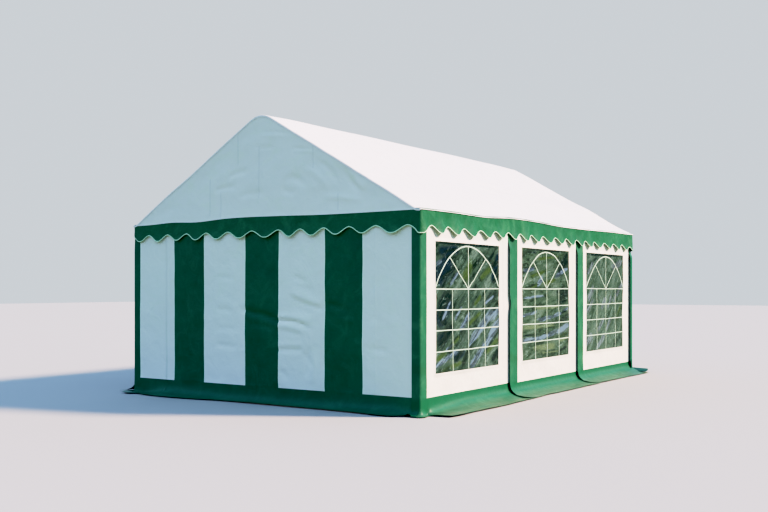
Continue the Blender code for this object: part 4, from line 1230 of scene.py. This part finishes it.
def side_panel(right, bay):
    """right is True on the +X side; bay counts from the -Y end there, and from
    the +Y end on the left, so the two sides are each other turned half round."""
    seed = (200 if right else 260) + 20 * bay
    sign = 1.0 if right else -1.0
    origin = (sign * 2.0, sign * (-3.0 + BAY * bay))
    way, normal = (0.0, sign), (sign, 0.0)
    first, last = bay == 0, bay == 2
    end = 1.985 if last else 2.090
    hem = 0.022
    top = WIN_TOPS[bay]
    lap = (-0.088, -0.094, -0.104)[bay]
    band = (0.115, 0.151, 0.150)[bay]
    foot = (0.177, 0.165, 0.164)[bay]
    breaks = [lap, lap + 0.008, band - 0.004, band + 0.004, WIN_U0 - hem, WIN_U0 - hem + 0.002, WIN_U0, WIN_U1, WIN_U1 + hem - 0.002,
              WIN_U1 + hem, 1.89, end]
    if first:
        breaks += [-0.022, -0.011, 0.0, 0.011, 0.022, 0.126, 0.134, 0.142, 0.150, 0.158, 0.168, 0.180]
    columns = spaced(sorted(breaks), 0.026)
    z_rows = rows_between([WALL_TOP, 1.93, top + hem, top + hem - 0.002, top, WIN_Z0, WIN_Z0 - hem + 0.002,
                           WIN_Z0 - hem, foot + 0.016, foot + 0.008, foot], 0.026)

    def colour(u, z):
        return np.where((u < band) | (z < foot + 0.0005), 0, 1)

    def fold(u, z):
        fade = smooth((WALL_TOP - z) / 0.15) * smooth((z - FLAP_TOP + 0.02) / 0.09)
        ends = smooth((u - 0.05) / 0.15) * smooth((1.86 - u) / 0.12)
        round_window = 1.0 - smooth((u - WIN_U0 + 0.06) / 0.05) * smooth((WIN_U1 + 0.06 - u) / 0.05) \
            * smooth((z - WIN_Z0 + 0.06) / 0.05) * smooth((top + 0.06 - z) / 0.05)
        d = 0.0045 * layered(u * 1.1, z * 0.8, seed, 2) * (0.4 + 0.6 * round_window)
        d += 0.0028 * layered(u * 3.1, z * 2.3, seed + 1, 3) * round_window
        d += 0.0024 * (ridged(u * 3.4 + z * 0.6, z * 1.9 - u, seed + 2) - 0.45) * round_window
        margin = smooth((u - WIN_U1) / 0.05) * smooth((1.90 - u) / 0.05)
        d += 0.0050 * margin * (0.3 + 0.7 * hump(z, 1.15, 0.45)) \
            * np.sin(2 * np.pi * (u - 1.66) / 0.115 + 1.1 * wave_noise(z * 1.7, u * 0 + seed, 3)) * (1.5, 2.6, 1.1)[bay]
        lower = smooth((WIN_Z0 - z) / 0.06)
        d += 0.0030 * lower * np.sin(2 * np.pi * (u + 0.35 * z) / 0.52 + seed)
        d = d * fade * ends
        # doubled edge welded round the window
        near = (u > WIN_U0 - hem) & (u < WIN_U1 + hem) & (z > WIN_Z0 - hem) & (z < top + hem)
        d += np.where(near, 0.0011, 0.0)
        d += 0.0008 * hump(u, band, 0.005) * (z > foot) + 0.0009 * hump(z, foot + 0.008, 0.006)
        if not first:
            # drawn in behind the valance
            d -= smooth((z - 1.68) / 0.12) * (0.0195 * (1.0 - smooth((u + 0.105) / 0.17)) + 0.003 * (1.0 - smooth((u - 0.03) / 0.22)))
        return d

    def proud(u, middle):
        d = 0.0060 * (1.0 - smooth((u - 0.03) / 0.22)) + 0.0200 * (1.0 - smooth((u + 0.105) / 0.17))
        if first:
            d = 0.0050 * (1.0 - smooth((u - 0.06) / 0.18)) + 0.0088 * (1.0 - smooth((u + 0.105) / 0.05))
        if not last:
            d = d - 0.0012 * smooth((u - 1.86) / 0.04)
        return d

    def spread(u, middle):
        if first:
            near = curve(u, ((-0.102, 0.050), (-0.05, 0.058), (0.0, 0.062), (0.06, 0.046), (0.131, 0.036)))
            far = curve(u, ((0.131, 0.258), (0.25, 0.276), (0.38, 0.281), (0.6, 0.268), (1.06, 0.276), (1.38, 0.280),
                            (1.65, 0.268), (2.1, 0.256)))
            turn = smooth((u - 0.120) / 0.050)
            R = near * (1 - turn) + far * turn
        elif bay == 1:
            R = curve(u, ((-0.102, 0.196), (-0.03, 0.228), (0.08, 0.250), (0.25, 0.250), (0.4, 0.240), (0.8, 0.250),
                          (1.26, 0.250), (1.75, 0.251), (2.1, 0.254)))
        else:
            R = curve(u, ((-0.102, 0.176), (-0.03, 0.205), (0.08, 0.228), (0.25, 0.238), (0.5, 0.242), (1.0, 0.246),
                          (1.7, 0.262), (2.0, 0.270)))
        return R + 0.005 * smooth((u - 0.15) / 0.2) * wave_noise(u * 3.3, u * 0 + 1.7, seed + 8)

    def shear(u, middle, g):
        if first:
            s = np.zeros_like(u)
        else:
            s = 0.035 * (1 - smooth((u + 0.102) / 0.35)) * smooth((g - 0.55) / 0.45)
        if not last:
            s = s + 0.05 * smooth((u - 1.90) / 0.19) * smooth((g - 0.25) / 0.6)
        return s

    def kick(u, g):
        if first:
            return 0.0 * u
        return 0.0035 * (1 - smooth((u + 0.104) / 0.34)) * smooth(g / 0.12)

    def tight(u, middle):
        if first:
            return np.where(u < 0.131, 0.30 + 0.70 * smooth((u - 0.04) / 0.09), 0.85 - 0.25 * smooth((u - 0.13) / 0.08)
                            - 0.60 * smooth((u - 0.20) / 0.75))
        return np.zeros_like(u)

    def pull(u, z):
        return shift_along(u, z, bay)

    def lift(u, middle):
        rise = 0.0050 + 0.0035 * wave_noise(u * 2.3, u * 0 + 6.1, seed + 12)
        if first:
            rise = rise * smooth((u - 0.10) / 0.05) + 0.0100 * hump(u, 0.30, 0.26) * smooth((u - 0.11) / 0.04) + 0.001
        return rise

    side = "right" if right else "left"
    obj = wall_sheet(f"side_cloth_{side}_{bay + 1}", origin, way, normal, columns, colour, fold, spread,
                     corner=first, holes=((WIN_U0, WIN_U1, WIN_Z0, top),), shear=shear, lift=lift, proud=proud,
                     tight=tight, pull=pull, kick=kick, common=None if first else 0.262, foot=foot, z_rows=z_rows,
                     mats=(GREEN_SIDE, WALL_WHITE), seed=seed, sway=0.0)
    finish_piece(obj, (f"side_panel_{side}_{bay + 1}",))

    # the clear film
    O, D, N = (np.array(v, float) for v in (origin, way, normal))
    us = spaced([WIN_U0 - 0.014, WIN_U0, WIN_U1, WIN_U1 + 0.014], 0.0155)
    zs = spaced([WIN_Z0 - 0.014, WIN_Z0, top, top + 0.014], 0.0155)
    U, Z = np.meshgrid(us, zs)

    def place(u, z, extra=0.0):
        d = film_fold(u, z, bay, seed + 11) + extra
        v = u + shift_along(u, z, bay)
        return np.stack([O[0] + D[0] * v + N[0] * d, O[1] + D[1] * v + N[1] * d, z], axis=-1)

    # masks of the painted sky reflection, dark, greenery and extra colour
    reflected_sky, painted_dark, painted_greenery, more = film_marks(U, Z, bay)
    film = sheet_object(f"window_film_{side}_{bay + 1}", grid_quads(place(U, Z)), [FILMS[bay]],
                        uv=grid_quads(np.stack([U, Z], axis=2)), thickness=0.0008,
                        marks={"clouding": grid_quads(np.stack([reflected_sky, painted_dark], axis=2)),
                               "tinting": grid_quads(np.stack([painted_greenery, more], axis=2))})
    finish_piece(film, (f"window_{side}_{bay + 1}",))

    # the white bars welded on it
    quads, uvs = [], []

    def strip(line, width, closed=False, wob=0.0025):
        """A flat band along a line of (u, z) points."""
        line = np.array(line, float)
        seglen = np.hypot(*np.diff(line, axis=0).T)
        total = np.concatenate([[0.0], np.cumsum(seglen)])
        n = max(2, int(total[-1] / 0.012))
        t = np.linspace(0, total[-1], n + 1)
        u, z = np.interp(t, total, line[:, 0]), np.interp(t, total, line[:, 1])
        tu, tz = np.gradient(u), np.gradient(z)
        ln = np.hypot(tu, tz)
        tu, tz = tu / ln, tz / ln
        w = wob * wave_noise(t * 5.0, t * 0 + line[0, 0] * 9 + line[0, 1] * 5, seed + 13) * np.sin(np.pi * t / total[-1])
        u, z = u - tz * w, z + tu * w
        cross = np.array([-0.5, 0.0, 0.5]) * width
        A = u[:, None] - tz[:, None] * cross
        B = z[:, None] + tu[:, None] * cross
        P = place(A, B, 0.0011)
        T = np.stack([np.broadcast_to(t[:, None], A.shape), np.broadcast_to(cross, A.shape)], axis=2)
        q, v = grid_quads(P), grid_quads(T)
        e1, e2 = q[0, 1] - q[0, 0], q[0, 3] - q[0, 0]
        if np.cross(e1, e2)[:2] @ N < 0:
            q, v = q[:, ::-1], v[:, ::-1]
        quads.append(q)
        uvs.append(v)

    a0, a1 = WIN_U0 + 0.001, WIN_U1 - 0.001
    for k, z in enumerate(BARS_Z):
        lean = 0.006 * (_lattice(np.int64(k), np.int64(bay), seed) - 0.5)
        strip([(a0, z + lean), ((a0 + a1) / 2, z - 0.003), (a1, z - lean)], 0.0112)
    for k, u in enumerate(BARS_U):
        w = 0.008 * (_lattice(np.int64(k), np.int64(5), seed) - 0.5)
        strip([(u + (0.016, 0.006, 0.010)[k], WIN_Z0 + 0.003), (u + 0.012 + w, 0.610), (u - 0.004 + w, 0.800),
               (u + w, 1.03), (u, ARCH_Z)], (0.0088, 0.0096, 0.0100)[bay], wob=0.0075)
    # the arch springs from the window's sides
    right_half = ((0.0, 1.694), (0.080, 1.690), (0.170, 1.673), (0.250, 1.647), (0.330, 1.609), (0.410, 1.562),
                  (0.480, 1.508), (0.545, 1.443), (0.600, 1.378), (0.640, 1.322), (0.668, 1.275))
    line = np.array([(-a, b) for a, b in right_half[::-1]] + list(right_half[1:]))
    steps = np.linspace(0, len(line) - 1, 121)
    arch = np.stack([curve(steps, list(enumerate(line[:, 0]))), curve(steps, list(enumerate(line[:, 1])))], axis=1)
    arch[:, 0] = np.clip(arch[:, 0] + ARCH_U, a0 + 0.006, a1 - 0.006)
    arch[:, 1] -= 0.008
    strip(arch, 0.0142, wob=0.0035)
    strip([(ARCH_U, ARCH_Z), (ARCH_U - 0.004, 1.682)], 0.0110, wob=0.0055)
    for m in (-1, 1):
        strip([(ARCH_U + m * 0.006, ARCH_Z + 0.006), (ARCH_U + m * 0.398, 1.566)], 0.0110)
    bars = sheet_object(f"window_bars_{side}_{bay + 1}", np.concatenate(quads), [TAPE], uv=np.concatenate(uvs),
                        thickness=0.0007)
    finish_piece(bars)
    return obj


end_wall(-1)
end_wall(1)
for on_right in (True, False):
    for which in range(3):
        side_panel(on_right, which)

# --------------------------------------------------------- floor and light
def stage_floor():
    size = 60.0
    me = bpy.data.meshes.new("studio_floor")
    me.from_pydata([(-size, -size, -0.0006), (size, -size, -0.0006), (size, size, -0.0006), (-size, size, -0.0006)], [], [(0, 1, 2, 3)])
    floor = bpy.data.objects.new("studio_floor", me)
    bpy.context.scene.collection.objects.link(floor)
    k = Look("studio_floor")
    seen = k.node("ShaderNodeLightPath").outputs["Is Camera Ray"]
    k.set(Base_Color=k.mix(seen, (0.19, 0.26, 0.16), (0.45, 0.44, 0.42)), Roughness=0.9)
    k.set(Specular_IOR_Level=0.1)
    me.materials.append(k.mat)
    return floor


stage_floor()

world = bpy.data.worlds.new("studio")
bpy.context.scene.world = world
world.use_nodes = True
wt = world.node_tree
wt.nodes.clear()
w_out = wt.nodes.new("ShaderNodeOutputWorld")
w_fill = wt.nodes.new("ShaderNodeBackground")
w_view = wt.nodes.new("ShaderNodeBackground")
w_mix = wt.nodes.new("ShaderNodeMixShader")
w_path = wt.nodes.new("ShaderNodeLightPath")
w_at = wt.nodes.new("ShaderNodeTexCoord")
w_split = wt.nodes.new("ShaderNodeSeparateXYZ")
w_ramp = wt.nodes.new("ShaderNodeValToRGB")
wt.links.new(w_at.outputs["Generated"], w_split.inputs[0])
wt.links.new(w_split.outputs[2], w_ramp.inputs[0])
ramp = w_ramp.color_ramp
ramp.elements[0].position, ramp.elements[0].color = 0.00, (0.06, 0.08, 0.05, 1)
ramp.elements[1].position, ramp.elements[1].color = 0.17, (0.12, 0.15, 0.10, 1)
for pos, col in ((0.24, (0.61, 0.83, 1.17)), (0.55, (0.50, 0.74, 1.10)), (1.0, (0.28, 0.47, 0.78))):
    e = ramp.elements.new(pos)
    e.color = (*col, 1)
wt.links.new(w_ramp.outputs[0], w_fill.inputs["Color"])
w_fill.inputs["Strength"].default_value = 1.41
w_view.inputs["Color"].default_value = (0.66, 0.72, 0.78, 1)
w_view.inputs["Strength"].default_value = 1.0
wt.links.new(w_path.outputs["Is Camera Ray"], w_mix.inputs[0])
wt.links.new(w_fill.outputs[0], w_mix.inputs[1])
wt.links.new(w_view.outputs[0], w_mix.inputs[2])
wt.links.new(w_mix.outputs[0], w_out.inputs["Surface"])


def sun(name, toward, strength, colour, angle):
    data = bpy.data.lights.new(name, "SUN")
    data.energy, data.color, data.angle = strength, colour, math.radians(angle)
    obj = bpy.data.objects.new(name, data)
    obj.rotation_mode = "QUATERNION"
    obj.rotation_quaternion = Vector(toward).to_track_quat("Z", "Y")
    bpy.context.scene.collection.objects.link(obj)
    return obj


sun("key", (0.734, 0.419, 0.535), 9.25, (1.0, 0.71, 0.57), 8.0)

# ------------------------------------------------------------------ camera
cam_data = bpy.data.cameras.new("camera")
cam = bpy.data.objects.new("camera", cam_data)
bpy.context.scene.collection.objects.link(cam)
cam.location = (6.8133, -10.8824, 1.2523)
cam.rotation_euler = (math.radians(90.0), 0.0, math.radians(33.5645))
cam_data.sensor_width = 36.0
cam_data.sensor_fit = "HORIZONTAL"
cam_data.lens = 44.864
cam_data.shift_y = 31.886 / 768.0
cam_data.clip_end = 400.0
cam_data.dof.use_dof = False
bpy.context.scene.camera = cam

scene = bpy.context.scene
scene.view_settings.view_transform = "Standard"
scene.view_settings.look = "None"
# a film-like tone curve: a soft toe, and highlights that roll off
TONE = ((0.0, 0.0), (0.02, 0.001), (0.06, 0.026), (0.10, 0.056), (0.18, 0.140), (0.33, 0.312), (0.50, 0.492),
        (0.62, 0.580), (1.0, 0.735), (1.65, 0.860), (2.1, 0.910), (3.0, 0.965))
scene.view_settings.use_curve_mapping = True
tone = scene.view_settings.curve_mapping
tone.initialize()
tone.black_level = (0.0, 0.0, 0.0)
tone.white_level = (3.0, 3.0, 3.0)
tone_line = tone.curves[3]
tone_line.points[0].location = (0.0, 0.0)
tone_line.points[1].location = (1.0, TONE[-1][1])
for light_in, light_out in TONE[1:-1]:
    tone_line.points.new(light_in / 3.0, light_out)
tone.update()
